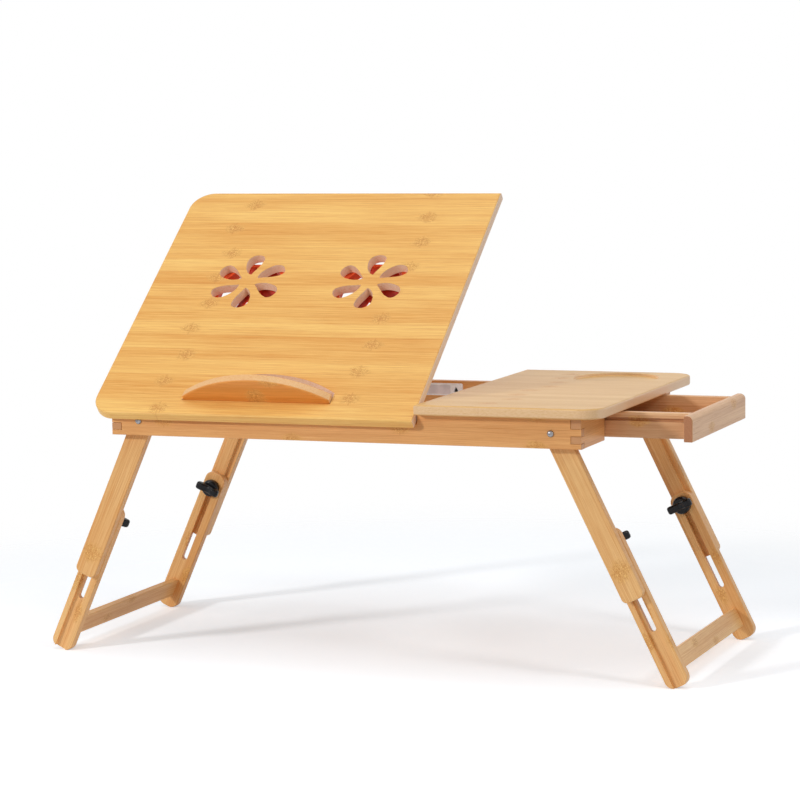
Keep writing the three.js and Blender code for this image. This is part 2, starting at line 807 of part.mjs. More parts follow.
function tilt_panel() {
  const outline = rectangle(
    panel_left, panel_front, tilt_panel_right, panel_back, [panel_corner, 0, 0, panel_corner]);
  const pocket_front = stopper_axis_y - board / 2 - seat;
  const pocket_crown = stopper_axis_y + stopper_rise + axis_depth;
  const pocket = arch(stopper_end_gap, stopper_arc_gap, pocket_front, pocket_crown);
  const pin_bore = round_x(
    stopper_pin_radius + seat / 2,
    stopper_left - stopper_pin_hold - seat,
    stopper_left + stopper_length + stopper_pin_hold + seat,
    stopper_axis_y, stopper_axis_z);
  const mortises = hinge_places().flatMap((x) => {
    const half = hinge_length / 2 + seat;
    return [
      round_x(knuckle_radius + knuckle_relief, x - half, x + half, pin_y, pin_z),
      block(x - half, x + half, pin_y, pin_y + knuckle_radius + leaf_width + 2 * seat,
        panel_bottom - overrun, panel_bottom + leaf_thickness + seat),
    ];
  });
  return part('tilt_panel', honey_bamboo, cut(
    plate(outline, panel_bottom, panel_top, panel_ease, 6),
    plate(pocket, panel_bottom - overrun, panel_top + overrun, 0, 12),
    pin_bore,
    ...mortises,
    ...vent_places.flatMap(vent_petals),
  ));
}

// Flat fan under a vent: square housing with a round duct, spokes and a spindle
function fan_housing(name, [x, y]) {
  const half = fan_size / 2;
  const high = panel_bottom - seat;
  const low = high - fan_depth;
  const outline = rectangle(x - half, y - half, x + half, y + half, fan_corner);
  const shell = cut(
    plate(outline, low, high, 0, 4),
    round_z(duct_radius, low - overrun, high + overrun, x, y, 40));
  const spokes = [];
  for (let i = 0; i < spoke_count; i += 1) {
    const arm = new THREE.BoxGeometry(duct_radius + seat, spoke_width, motor_depth);
    arm.translate((duct_radius + seat) / 2, 0, low + motor_depth / 2);
    arm.rotateZ((i * 2 * Math.PI) / spoke_count + Math.PI / 2);
    arm.translate(x, y, 0);
    spokes.push(solid(arm));
  }
  return part(name, white_plastic, join(
    shell,
    ...spokes,
    round_z(motor_radius, low, low + motor_depth, x, y, 24),
    round_z(spindle_radius, low, low + motor_depth + hub_lift + hub_depth - seat, x, y),
  ));
}

// Rotor drawn about its own axis, with its hub's bottom at height zero
function fan_rotor(name, [x, y]) {
  const hub = cut(
    round_z(hub_radius, 0, hub_depth, 0, 0, 24),
    round_z(spindle_radius + running, -overrun, hub_depth - seat / 2, 0, 0));
  const blades = [];
  for (let i = 0; i < blade_count; i += 1) {
    const start = hub_radius - overrun;
    const blade = new THREE.BoxGeometry(blade_reach - start, blade_chord, blade_thickness);
    blade.rotateX(blade_pitch);
    blade.translate((blade_reach + start) / 2, 0, hub_depth / 2);
    blade.rotateZ((i * 2 * Math.PI) / blade_count);
    blades.push(solid(blade));
  }
  const sweep = round_z(blade_reach, 0, hub_depth, 0, 0, 40);
  const rotor = part(name, red_plastic, join(hub, ...blades).intersect(sweep));
  const low = panel_bottom - seat - fan_depth;
  rotor.position.set(x, y, low + motor_depth + hub_lift);
  return rotor;
}

// Tilt stay: its length brings its tip just under the catch strip of the tilted panel
const stay_left = board + seat;
const tip_radius = stay_width / 2;
const tip_depth = catch_base + seat + tip_radius;
const pivot_below = (stay_pivot_y - pin_y) * Math.sin(tilt)
  - (stay_pivot_z - pin_z) * Math.cos(tilt) + (panel_bottom - pin_z);
const stay_length = (pivot_below - tip_depth) / Math.sin(stay_lean - tilt);
const tip_y = stay_pivot_y + stay_length * Math.cos(stay_lean);
const tip_z = stay_pivot_z + stay_length * Math.sin(stay_lean);
const tip_along = (tip_y - pin_y) * Math.cos(tilt) + (tip_z - pin_z) * Math.sin(tilt);

function tilt_stay() {
  const outline = rectangle(
    -tip_radius, -tip_radius, stay_length + tip_radius, tip_radius, tip_radius);
  const stay = part('tilt_stay', leg_bamboo, cut(
    bar(outline, 0, stay_thickness),
    round_x(stay_screw_radius + running, -overrun, stay_thickness + overrun, 0, 0)));
  stay.position.set(stay_left, stay_pivot_y, stay_pivot_z);
  stay.rotation.x = stay_lean;
  return stay;
}

function stay_screw() {
  const inner = stay_left + stay_thickness + seat;
  const shank = round_x(stay_screw_radius, board - stay_screw_hold + seat, inner + seat,
    stay_pivot_y, stay_pivot_z);
  const head = round_x(
    stay_head_radius, inner, inner + stay_head_height, stay_pivot_y, stay_pivot_z);
  return part('stay_screw', bright_steel, join(shank, head));
}

// Catch strip under the panel, a low sawtooth that the stay's tip rests against
function catch_strip() {
  const high = panel_bottom - seat / 2;
  const gullet = panel_bottom - catch_base;
  const first = pin_y + tip_along + Math.sqrt(2 * tip_radius * catch_tooth) + seat;
  const start = first - catch_count * catch_pitch;
  const saw = new THREE.Shape();
  saw.moveTo(start, high);
  saw.lineTo(start, gullet);
  for (let i = 1; i <= catch_count; i += 1) {
    const face = start + i * catch_pitch;
    saw.lineTo(face - (i < catch_count ? catch_pitch / 2 : 0), gullet);
    saw.lineTo(face, i < catch_count ? gullet : gullet - catch_tooth);
  }
  saw.lineTo(first + catch_pitch, gullet);
  saw.lineTo(first + catch_pitch, high);
  return part('catch_strip', leg_bamboo, bar(saw, stay_left, stay_left + stay_thickness));
}

// White plate of the fan control, with its keyhole socket
function control_plate() {
  const y1 = frame_depth - board - seat;
  const x1 = plate_left + plate_length;
  const x = x1 - keyhole_inset;
  const z = plate_bottom + plate_height / 2;
  const outline = rectangle(
    plate_left, plate_bottom, x1, plate_bottom + plate_height, plate_corner);
  const keyhole = new THREE.Path();
  keyhole.absarc(x, z - keyhole_radius / 2, keyhole_radius, Math.PI, 2 * Math.PI, false);
  keyhole.lineTo(x, z - keyhole_radius / 2 + keyhole_rise);
  outline.holes.push(keyhole);
  return part('control_plate', white_plastic, slab(outline, y1 - plate_depth, y1, 0, 6));
}

// The tilting assembly turns about the hinge pins
function tilting_panel() {
  const group = new THREE.Group();
  const flat = new THREE.Group();
  const [left_vent, right_vent] = vent_places;
  const [left_hinge, right_hinge] = hinge_places();
  flat.add(
    tilt_panel(),
    stopper(),
    stopper_pin('left_stopper_pin', stopper_left),
    stopper_pin('right_stopper_pin', stopper_left + stopper_length),
    panel_leaf('left_panel_leaf', left_hinge),
    panel_leaf('right_panel_leaf', right_hinge),
    hinge_pin('left_hinge_pin', left_hinge),
    hinge_pin('right_hinge_pin', right_hinge),
    fan_housing('left_fan_housing', left_vent),
    fan_housing('right_fan_housing', right_vent),
    fan_rotor('left_fan_rotor', left_vent),
    fan_rotor('right_fan_rotor', right_vent),
    catch_strip(),
  );
  flat.position.set(0, -pin_y, -pin_z);
  group.add(flat);
  group.position.set(0, pin_y, pin_z);
  group.rotation.x = tilt;
  return group;
}

const table = new THREE.Group();
const [left_hinge_x, right_hinge_x] = hinge_places();
table.add(
  front_apron(),
  back_rail(),
  left_end_rail(),
  right_end_front(),
  right_end_back(),
  side_panel(),
  middle_divider(),
  drawer_runner('front_drawer_runner', 1),
  drawer_runner('back_drawer_runner', -1),
  control_plate(),
  apron_leaf('left_apron_leaf', left_hinge_x),
  apron_leaf('right_apron_leaf', right_hinge_x),
  stay_screw(),
  tilt_stay(),
  tilting_panel(),
  drawer(),
  leg_pair('left', left_pivot, left_splay, left_lift),
  leg_pair('right', right_pivot, -right_splay, 0),
);
for (const [side_name, x] of [['left', left_pivot], ['right', right_pivot]]) {
  for (const [end_name, side] of [['front', 1], ['back', -1]]) {
    table.add(
      pivot_bolt(`${side_name}_${end_name}_pivot_bolt`, x, side),
      pivot_nut(`${side_name}_${end_name}_pivot_nut`, x, side),
    );
  }
}
table.position.set(-centre_x, -centre_y, -ground);

const laptop_bed_table = new THREE.Group();
laptop_bed_table.name = 'laptop_bed_table';
laptop_bed_table.add(table);

export default laptop_bed_table;
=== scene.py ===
"""Looks of a folding bamboo laptop bed table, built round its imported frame.

Lengths inside the functions are millimetres in the table's own frame: X runs along the front
edge, Y goes back, Z goes up, and the front apron's outer left lower corner is the origin. Meshes
are in metres.
"""

import math
from types import SimpleNamespace

import bpy
import numpy as np
from bpy.props import FloatProperty, FloatVectorProperty, PointerProperty
from mathutils import Matrix, Vector
from mathutils.geometry import tessellate_polygon


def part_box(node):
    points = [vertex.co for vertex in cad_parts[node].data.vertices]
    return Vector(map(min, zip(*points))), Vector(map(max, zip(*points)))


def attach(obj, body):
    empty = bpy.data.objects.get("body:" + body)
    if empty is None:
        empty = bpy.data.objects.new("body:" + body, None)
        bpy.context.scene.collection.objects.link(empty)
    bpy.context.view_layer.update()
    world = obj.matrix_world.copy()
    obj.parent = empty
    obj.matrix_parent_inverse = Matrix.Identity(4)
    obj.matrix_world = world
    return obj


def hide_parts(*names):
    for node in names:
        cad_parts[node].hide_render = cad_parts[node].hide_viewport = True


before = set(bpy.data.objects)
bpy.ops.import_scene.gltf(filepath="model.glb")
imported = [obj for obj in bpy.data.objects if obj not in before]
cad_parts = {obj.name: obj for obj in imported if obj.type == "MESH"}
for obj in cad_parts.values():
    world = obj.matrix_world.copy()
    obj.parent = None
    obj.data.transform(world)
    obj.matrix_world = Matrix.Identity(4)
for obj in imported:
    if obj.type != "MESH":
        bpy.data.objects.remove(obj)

bl_info = {
    "name": "Laptop Bed Table",
    "version": (1, 0, 0),
    "blender": (4, 5, 0),
    "location": "View3D > Sidebar > Bed Table",
    "description": "Builds the visible pieces of a folding bamboo laptop bed table",
    "category": "Object",
}

# Millimetres in a metre
METRE = 1000

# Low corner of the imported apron, in metres, where the functions' millimetres start
ORIGIN = np.array(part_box("front_apron")[0], float)

# Place of a piece that is drawn where it stands
STILL = np.eye(4)

# How much less than half a board's width a full round's radius is, so that no side vanishes
ROUND_SLACK = 0.02

# How the three directions of a drawn outline (across, up, carried) lie in the table's frame
WAYS = {
    "z": np.array([(1, 0, 0), (0, 1, 0), (0, 0, 1)], float),
    "x": np.array([(0, 1, 0), (0, 0, 1), (1, 0, 0)], float),
    "y": np.array([(1, 0, 0), (0, 0, 1), (0, -1, 0)], float),
    "inward": np.array([(0, 0, 1), (1, 0, 0), (0, 1, 0)], float),
}


# ---------------------------------------------------------------- sizes and colours

def size(name, description, millimetres):
    """Length property, stored in metres."""
    return FloatProperty(
        name=name, description=description, default=millimetres / METRE, unit="LENGTH",
        precision=4)


def angle(name, description, degrees):
    """Angle property, stored in radians."""
    return FloatProperty(
        name=name, description=description, default=math.radians(degrees), unit="ROTATION")


def share(name, description, value):
    """Plain number between nought and one."""
    return FloatProperty(name=name, description=description, default=value, min=0, max=1,
                         subtype="FACTOR")


def tint(name, description, red, green, blue):
    """Colour property. Each channel is written from 0 to 255 and stored as light."""
    channels = np.array([red, green, blue]) / 255
    linear = np.where(channels <= 0.04045, channels / 12.92, ((channels + 0.055) / 1.055) ** 2.4)
    return FloatVectorProperty(name=name, description=description, default=tuple(linear.tolist()),
                               subtype="COLOR", size=3, min=0, max=1)


class PanelSizes(bpy.types.PropertyGroup):
    tilt_length: size("Tilting panel length", "Length of the tilting panel along X", 357.7)
    side_length: size("Side panel length", "Length of the fixed side panel along X", 191)
    seam_gap: size("Seam gap", "Gap between the two panels", 1.3)
    depth: size("Panel depth", "Depth of both panels along Y", 350)
    side_overhang: size("Side overhang", "How far a panel stands past the frame's end", 21)
    front_overhang: size("Front overhang", "How far the panels stand past the apron", 10.5)
    back_overhang: size("Back overhang", "How far the panels stand past the back rail", 24.5)
    thickness: size("Thickness", "Thickness of the panels", 10.5)
    corner: size("Corner radius", "Radius of the outer corners in plan", 25)
    edge: size("Edge round", "Rounding of the panels' edges", 2.2)
    tilt: angle("Tilt", "Tilt of the laptop panel", 37.5)
    pin_y: size("Hinge Y", "Place of the hinge pins behind the apron's face", 12.7)
    pin_z: size("Hinge Z", "Height of the hinge pins", 30.15)
    cup_radius: size("Cup rest radius", "Radius of the round recess in the side panel", 45)
    cup_depth: size("Cup rest depth", "Depth of the round recess", 3)
    cup_right: size("Cup rest from right", "Its centre from the panel's right edge", 70)
    cup_back: size("Cup rest from back", "Its centre from the panel's back edge", 60.5)


class VentSizes(bpy.types.PropertyGroup):
    left_x: size("Left vent X", "Centre of the left vent", 91)
    left_y: size("Left vent Y", "Centre of the left vent", 194)
    right_x: size("Right vent X", "Centre of the right vent", 230)
    right_y: size("Right vent Y", "Centre of the right vent", 196)
    start: size("Petal start", "Distance of a petal's point from the vent's centre", 10.5)
    length: size("Petal length", "Length of a petal", 31)
    width: size("Petal width", "Width that a petal's shares are taken of", 18.5)
    turn: angle("Petal turn", "Turn of the first petal", 30.5)
    rim: size("Rim round", "Rounding of the petals' edges", 0.5)


class StopperSizes(bpy.types.PropertyGroup):
    left: size("Left end", "Place of the stopper's left end", 79)
    length: size("Length", "Length of the stopper", 163)
    front: size("Front face", "Place of its front face", 11.5)
    rise: size("Rise", "Height of its crown over the panel", 29)
    end_rise: size("End rise", "Height of its ends over the panel", 4)
    edge: size("Edge round", "Rounding of its edges", 2)
    gap: size("Pocket gap", "Gap round it in its pocket", 1)


class FrameSizes(bpy.types.PropertyGroup):
    height: size("Height", "Height of the frame boards", 30)
    board: size("Board", "Thickness of the frame boards", 10.5)
    seat: size("Seat", "Gap between fitted pieces", 0.3)
    edge: size("Edge round", "Rounding of the frame boards", 0.5)
    finger_low: size("First joint line", "Height of the lowest finger joint", 5.5)
    finger_mid: size("Second joint line", "Height of the middle finger joint", 12.5)
    finger_high: size("Third joint line", "Height of the highest finger joint", 20)
    end_return: size("Right end return", "Length of the boards beside the drawer", 77)


class DrawerSizes(bpy.types.PropertyGroup):
    gap: size("Gap", "Gap at each side of the drawer", 1)
    wall: size("Wall", "Thickness of the drawer's boards", 9)
    drawn: size("Drawn out", "How far the drawer stands open", 87)
    length: size("Length", "Length of the drawer's sides", 155)
    bottom: size("Bottom height", "Height of its lower edge", 3.3)
    top: size("Top height", "Height of its upper edge", 29)
    front_top: size("Front top", "Height of the front board's upper edge", 29.3)
    overlap: size("Front overlap", "How far the front board stands past each side", 23.5)
    front_round: size("Front round", "Rounding of the front board's upper outer edge", 5.5)
    groove_low: size("Groove height", "Height of the runner's groove", 20)
    groove_width: size("Groove width", "Width of the groove", 3.3)
    groove_depth: size("Groove depth", "Depth of the groove", 3.5)
    floor_lift: size("Floor lift", "Height of the floor over the lower edge", 2.5)
    floor: size("Floor", "Thickness of the floor", 3)
    edge: size("Edge round", "Rounding of the drawer's boards", 1)


class LegSizes(bpy.types.PropertyGroup):
    left_splay: angle("Left splay", "Lean of the left legs", 24)
    right_splay: angle("Right splay", "Lean of the right legs", 26.3)
    pivot_height: size("Pivot height", "Height of the pivots over the frame's bottom", 15)
    board: size("Board", "Thickness of a leg's boards", 10.5)
    upper_width: size("Upper width", "Width of the upper legs", 23.5)
    upper_length: size("Upper length", "Length of the upper legs below the pivot", 182)
    upper_corner: size("Upper corner", "Radius of the upper legs' lower corners", 6)
    lower_width: size("Lower width", "Width of the lower legs", 24.3)
    lower_top: size("Lower top", "Where a lower leg starts below the pivot, drawn out", 108.4)
    lower_end: size("Lower end", "Where a lower leg ends below the pivot, drawn out", 277.4)
    foot_round: size("Foot round", "Radius of the feet's corners", 9)
    tongue: size("Channel width", "Width of the channel that the tongue slides in", 12.5)
    tongue_rise: size("Channel depth", "Depth of the channel", 4.2)
    slot_start: size("Slot start", "Where the slot starts below the pivot, drawn out", 118)
    slot_length: size("Slot length", "Length of the slot", 100)
    slot_width: size("Slot width", "Width of the slot", 6.4)
    edge: size("Edge round", "Rounding of the legs' edges", 1)
    stretcher_place: size("Stretcher place", "Middle of the stretcher below the pivot", 253.4)
    stretcher_height: size("Stretcher height", "Height of the stretcher", 21)
    stretcher_board: size("Stretcher board", "Thickness of the stretcher", 7)
    tenon: size("Tenon", "How far the stretcher enters each leg", 5)


class FittingSizes(bpy.types.PropertyGroup):
    boss_radius: size("Knob radius", "Radius of a wing knob's boss", 9.5)
    boss_height: size("Knob height", "Height of the boss", 8)
    boss_round: size("Knob round", "Rounding of the boss's outer edge", 3)
    wing_reach: size("Wing reach", "How far a wing stands out from the stud", 14)
    wing_rise: size("Wing rise", "How far the wings rise over the boss", 8)
    wing_board: size("Wing thickness", "Thickness of the wings", 8.6)
    wing_round: size("Wing round", "Radius of the wings' tips", 3.6)
    wing_top: size("Wing top", "Width of a wing at its top", 8)
    saddle: size("Saddle", "How far the wings fall between their tips", 3.6)
    wing_ease: size("Wing edge", "Rounding of the wings' edges", 2.6)
    bolt_radius: size("Bolt head radius", "Radius of a pivot bolt's head", 3.4)
    bolt_rise: size("Bolt head rise", "Height of the head", 2.2)
    shank: size("Shank radius", "Radius of the pivot bolts' shanks", 2.5)
    nut_radius: size("Nut radius", "Radius of the nuts sunk in the legs", 4.6)
    plate_left: size("Plate left", "Left end of the fan control's plate", 222)
    plate_length: size("Plate length", "Length of the plate", 55)
    plate_height: size("Plate height", "Height of the plate", 13)
    plate_depth: size("Plate depth", "Depth of the plate", 5.5)
    plate_bottom: size("Plate bottom", "Height of the plate's lower edge", 14.5)
    # The field inside this border carries the plate's painted shade
    shade_field_border: size("Field border", "Border round the plate's sunk field", 1.6)
    keyhole_radius: size("Keyhole radius", "Radius of the socket's round end", 2.4)
    keyhole_rise: size("Keyhole rise", "Height of the socket's point over its round end", 4.6)
    keyhole_inset: size("Keyhole inset", "Place of the socket from the plate's right end", 6.5)


class FanSizes(bpy.types.PropertyGroup):
    square: size("Housing", "Side of the square housing", 78)
    depth: size("Depth", "Depth of the housing", 9.5)
    corner: size("Corner", "Radius of the housing's corners", 10)
    duct: size("Duct radius", "Radius of the round duct", 36)
    motor: size("Motor radius", "Radius of the motor's seat", 12)
    motor_depth: size("Motor depth", "Thickness of the motor's seat", 1.6)
    spoke: size("Spoke width", "Width of the spokes", 4)
    spindle: size("Spindle radius", "Radius of the spindle", 1.5)
    hub: size("Hub radius", "Radius of the rotor's hub", 13)
    hub_depth: size("Hub depth", "Depth of the hub", 7)
    hub_lift: size("Hub lift", "Gap under the hub", 0.4)
    reach: size("Blade reach", "Radius of the blades' tips", 34.5)
    chord: size("Blade chord", "Width of a blade", 15)
    blade: size("Blade thickness", "Thickness of a blade", 1.2)
    pitch: angle("Blade pitch", "Pitch of the blades", 24)


class Finishes(bpy.types.PropertyGroup):
    panel_light: tint("Panel light", "Pale strips of the tilting panel", 254, 208, 122)
    panel_dark: tint("Panel dark", "Deep strips of the tilting panel", 226, 156, 72)
    # panel_end is also painted on the tilting panel's edges as a highlight
    panel_end: tint("Panel end", "End grain of the tilting panel", 252, 226, 200)
    side_light: tint("Side panel light", "Pale strips of the side panel", 242, 200, 136)
    side_dark: tint("Side panel dark", "Deep strips of the side panel", 216, 166, 98)
    # side_end is also painted on the side panel's edges as a highlight
    side_end: tint("Side panel end", "End grain of the side panel", 250, 214, 176)
    frame_light: tint("Frame light", "Pale strips of the frame", 244, 184, 118)
    frame_dark: tint("Frame dark", "Deep strips of the frame", 213, 143, 78)
    frame_end: tint("Frame end", "End grain of the frame", 208, 154, 108)
    leg_light: tint("Leg light", "Pale strips of the legs", 250, 206, 142)
    leg_dark: tint("Leg dark", "Deep strips of the legs", 222, 157, 88)
    leg_end: tint("Leg end", "End grain of the legs", 228, 180, 124)
    drawer_light: tint("Drawer light", "Pale strips of the drawer", 242, 197, 150)
    drawer_dark: tint("Drawer dark", "Deep strips of the drawer", 210, 155, 108)
    drawer_end: tint("Drawer end", "End grain of the drawer", 178, 118, 82)
    stopper_light: tint("Stopper light", "Pale strips of the stopper", 250, 170, 84)
    stopper_dark: tint("Stopper dark", "Deep strips of the stopper", 219, 134, 48)
    # stopper_end is also painted on the stopper's crown and ends as a highlight
    stopper_end: tint("Stopper end", "End grain of the stopper", 240, 198, 142)
    mark: tint("Mark", "Dark fibres and the net of the bamboo's knuckles", 186, 96, 26)
    knot: tint("Knuckle", "Ground of the bamboo's knuckles", 250, 206, 116)
    steel: tint("Steel", "Bolts, nuts and studs", 158, 156, 158)
    brass: tint("Brass", "Hinges", 190, 156, 92)
    black: tint("Black plastic", "Wing knobs", 22, 21, 25)
    red: tint("Red plastic", "Fan rotors", 214, 56, 28)
    housing: tint("Housing plastic", "Fan housings", 250, 92, 40)
    white: tint("White plastic", "Control plate", 255, 254, 255)
    # The sunk field's grey is painted shade: the tilted panel's shadow over the plate's left part
    label: tint("Grey plastic", "Sunk field of the control plate", 236, 228, 231)


class StageLook(bpy.types.PropertyGroup):
    floor: tint("Floor", "Colour of the floor", 249, 250, 253)
    ambient: share("Ambient", "Level of the room's even light", 0.33)
    glow: share("Floor glow", "Light that the camera sees on the floor beside its lit colour", 0.36)
    glow_tone: tint("Glow tone", "Colour of that light, cool against the bamboo's", 240, 249, 255)
    key: FloatProperty(name="Key light", description="Power of the lamp at the front left",
                       default=34, unit="POWER")
    fill: FloatProperty(name="Fill light", description="Power of the lamp at the right",
                        default=10, unit="POWER")
    top: FloatProperty(name="Top light", description="Power of the lamp overhead",
                       default=18, unit="POWER")
    lens: FloatProperty(name="Lens", description="Focal length of the camera", default=132.666,
                        unit="CAMERA")
    yaw: angle("Camera yaw", "Turn of the camera to the left of the table's depth", 22.295)
    pitch: angle("Camera pitch", "How far the camera looks down", 7.757)
    roll: angle("Camera roll", "Lean of the camera about its view", -1.043)


GROUPS = {
    "panel": PanelSizes, "vent": VentSizes, "stopper": StopperSizes, "frame": FrameSizes,
    "drawer": DrawerSizes, "leg": LegSizes, "fitting": FittingSizes, "fan": FanSizes,
    "finish": Finishes, "stage": StageLook,
}


def read(scene, key):
    """Values of one group as plain numbers: lengths in millimetres, angles in radians, colours with
    a full alpha."""
    group = getattr(scene, f"bed_table_{key}")
    values = {}
    for name, info in group.bl_rna.properties.items():
        if info.type != "FLOAT":
            continue
        value = getattr(group, name)
        if info.is_array:
            values[name] = (*value, 1.0)
        else:
            values[name] = round(value * METRE, 4) if info.unit == "LENGTH" else value
    return SimpleNamespace(**values)


def sizes(scene):
    """All groups, with the places that follow from them."""
    s = SimpleNamespace(**{key: read(scene, key) for key in GROUPS})
    p, f, g, t = s.panel, s.frame, s.leg, s.stopper
    s.left = -p.side_overhang
    s.tilt_right = s.left + p.tilt_length
    s.seam = s.tilt_right + p.seam_gap
    s.right = s.seam + p.side_length
    s.front = -p.front_overhang
    s.back = s.front + p.depth
    s.length = s.right - p.side_overhang
    s.depth = s.back - p.back_overhang
    s.under = f.height + f.seat
    s.top = s.under + p.thickness
    s.upper_outer = f.board + f.seat
    s.upper_inner = s.upper_outer + g.board
    s.tongue_face = s.upper_inner + g.tongue_rise
    s.lower_outer = s.upper_inner + f.seat
    s.lower_inner = s.lower_outer + g.board
    s.knob_face = s.lower_inner + f.seat
    s.clamp = g.slot_start + g.slot_width / 2
    s.axis_y = t.front + p.thickness / 2
    s.axis_z = s.under + p.thickness / 2
    s.fan_low = s.under - f.seat - s.fan.depth
    s.vents = [("left", s.vent.left_x, s.vent.left_y), ("right", s.vent.right_x, s.vent.right_y)]
    s.drawer_front = f.end_return + s.drawer.gap
    s.drawer_back = s.depth - s.drawer_front
    return s


def drop(g, splay):
    """Depth of a foot's lowest point under its pivot, for a leg fully drawn out."""
    line = g.lower_end - g.foot_round
    side = g.lower_width / 2 - g.foot_round
    return line * math.cos(splay) + side * math.sin(splay) + g.foot_round


# ---------------------------------------------------------------- places

def shift(x, y, z):
    """Matrix that moves by a vector."""
    matrix = np.eye(4)
    matrix[:3, 3] = x, y, z
    return matrix


def turn(radians, axis):
    """Matrix that turns about one axis of the frame."""
    return np.array(Matrix.Rotation(radians, 4, axis), float)


def tilted(s):
    """Where the tilting panel stands: turned about its hinge pins by its tilt."""
    y, z = s.panel.pin_y, s.panel.pin_z
    return shift(0, y, z) @ turn(s.panel.tilt, "X") @ shift(0, -y, -z)


def leg_place(s, side_name):
    """Where one side's legs stand: pivot on the frame, turned out by that side's splay."""
    g, f = s.leg, s.frame
    splay = g.left_splay if side_name == "left" else g.right_splay
    reach = g.upper_width / 2 + f.seat + g.pivot_height * math.sin(splay)
    inset = f.board + reach / math.cos(splay)
    x, lean = (inset, splay) if side_name == "left" else (s.length - inset, -splay)
    return shift(x, 0, g.pivot_height) @ turn(lean, "Y")


def feet_place(s, side_name):
    """Where the sliding feet stand: the steeper left pair is slid in until all feet are level."""
    g = s.leg
    lift = 0
    if side_name == "left":
        lift = (drop(g, g.left_splay) - drop(g, g.right_splay)) / math.cos(g.left_splay)
    return leg_place(s, side_name) @ shift(0, 0, lift)


def depth_span(s, side, outer, inner):
    """Span along Y between two depths, from the front face or, for side -1, from the back face."""
    ends = [outer, inner] if side > 0 else [s.depth - outer, s.depth - inner]
    return min(ends), max(ends)


# ---------------------------------------------------------------- outlines

def softened(points, radii, steps=6):
    """Polygon with round corners, drawn anticlockwise. A corner becomes the arc that touches both
    its sides: the rational curve from one touching point to the other, drawn to the corner with a
    weight equal to the sine of half the corner's angle. A radius of nought keeps the corner."""
    points = np.asarray(points, float)
    radii = np.broadcast_to(np.asarray(radii, float), len(points))
    before = np.roll(points, 1, axis=0) - points
    after = np.roll(points, -1, axis=0) - points
    before /= np.linalg.norm(before, axis=1, keepdims=True)
    after /= np.linalg.norm(after, axis=1, keepdims=True)
    half = np.arccos(np.clip((before * after).sum(1), -1, 1)) / 2
    reach = (radii / np.tan(half))[:, None]
    start, end = (points + before * reach)[:, None], (points + after * reach)[:, None]
    s = np.linspace(0, 1, steps + 1)[None, :, None]
    weight = np.sin(half)[:, None, None]
    whole = (1 - s) ** 2 * start + 2 * weight * s * (1 - s) * points[:, None] + s ** 2 * end
    loop = whole / ((1 - s) ** 2 + 2 * weight * s * (1 - s) + s ** 2)
    keep = np.ones(loop.shape[:2], bool)
    keep[radii == 0, 1:] = False
    return loop[keep]


def rectangle(x0, y0, x1, y1, radii=0, steps=6):
    """Rectangle with round corners, from its low corner anticlockwise."""
    return softened([(x0, y0), (x1, y0), (x1, y1), (x0, y1)], radii, steps)


def circle(x, y, radius, sides):
    """Points at even angles on a circle, anticlockwise."""
    around = np.arange(sides) * 2 * np.pi / sides
    return np.stack([x + radius * np.cos(around), y + radius * np.sin(around)], 1)


def arch(t, end_gap, arc_gap, base, crown, steps=40):
    """Low arch: a flat base and straight ends under one circular arc. The arc's radius follows from
    half its span and its rise: half span squared plus rise squared, over twice the rise."""
    half = t.length / 2
    rise = t.rise - t.end_rise
    radius = (half ** 2 + rise ** 2) / (2 * rise)
    lean = math.asin(half / radius)
    around = np.linspace(np.pi / 2 - lean, np.pi / 2 + lean, steps)
    middle = t.left + half
    arc = np.stack([middle + (radius + arc_gap) * np.cos(around),
                    crown - radius + (radius + arc_gap) * np.sin(around)], 1)
    foot = np.array([(t.left - end_gap, base), (t.left + t.length + end_gap, base)])
    return np.concatenate([foot, arc])


def petal(v, steps=9):
    """Teardrop slot that points along X: four cubic curves whose control points are shares of the
    petal's length and width, joined end to end, clockwise."""
    shares = np.array([
        [(0, 0), (0.06, 0.32), (0.35, 0.57), (0.65, 0.57)],
        [(0.65, 0.57), (0.85, 0.57), (1, 0.35), (1, 0.03)],
        [(1, 0.03), (1, -0.27), (0.92, -0.43), (0.77, -0.43)],
        [(0.77, -0.43), (0.48, -0.43), (0.26, -0.13), (0, 0)],
    ])
    a, b, c, d = (shares[:, k, None] * (v.length, v.width) for k in range(4))
    s = np.linspace(0, 1, steps, endpoint=False)[None, :, None]
    curve = (1 - s) ** 3 * a + 3 * s * (1 - s) ** 2 * b + 3 * s ** 2 * (1 - s) * c + s ** 3 * d
    return curve.reshape(-1, 2) + (v.start, 0)


def swung(loop, radians, x, y):
    """Outline turned about the origin, then moved."""
    c, s = math.cos(radians), math.sin(radians)
    return loop @ np.array([(c, s), (-s, c)]) + (x, y)


# ---------------------------------------------------------------- solids

def outward(loop):
    """Outward direction at each point of an anticlockwise loop: the mean of the two side normals,
    lengthened so that moving along it by one moves both sides by one, but at most doubled."""
    along = np.roll(loop, -1, axis=0) - loop
    along /= np.linalg.norm(along, axis=1, keepdims=True)
    normal = np.stack([along[:, 1], -along[:, 0]], 1)
    last = np.roll(normal, 1, axis=0)
    return (normal + last) / np.maximum(1 + (normal * last).sum(1, keepdims=True), 0.5)


def wall(loop, insets, heights):
    """Wall round a loop: ring k is the loop moved in by inset k, at height k. Four-sided faces join
    each ring to the next. A clockwise loop gives the wall of a hole."""
    flat = loop[None] - np.asarray(insets)[:, None, None] * outward(loop)[None]
    rise = np.broadcast_to(np.asarray(heights, float)[:, None, None], (*flat.shape[:2], 1))
    return np.concatenate([flat, rise], 2)


def quads(rings, first=0):
    """Four-sided faces between rings of one count, numbered from first."""
    count, around = rings.shape[:2]
    k = np.arange(count - 1)[:, None]
    i = np.arange(around)[None]
    j = (i + 1) % around
    faces = [k * around + i, k * around + j, (k + 1) * around + j, (k + 1) * around + i]
    return (np.stack(faces, -1).reshape(-1, 4) + first).tolist()


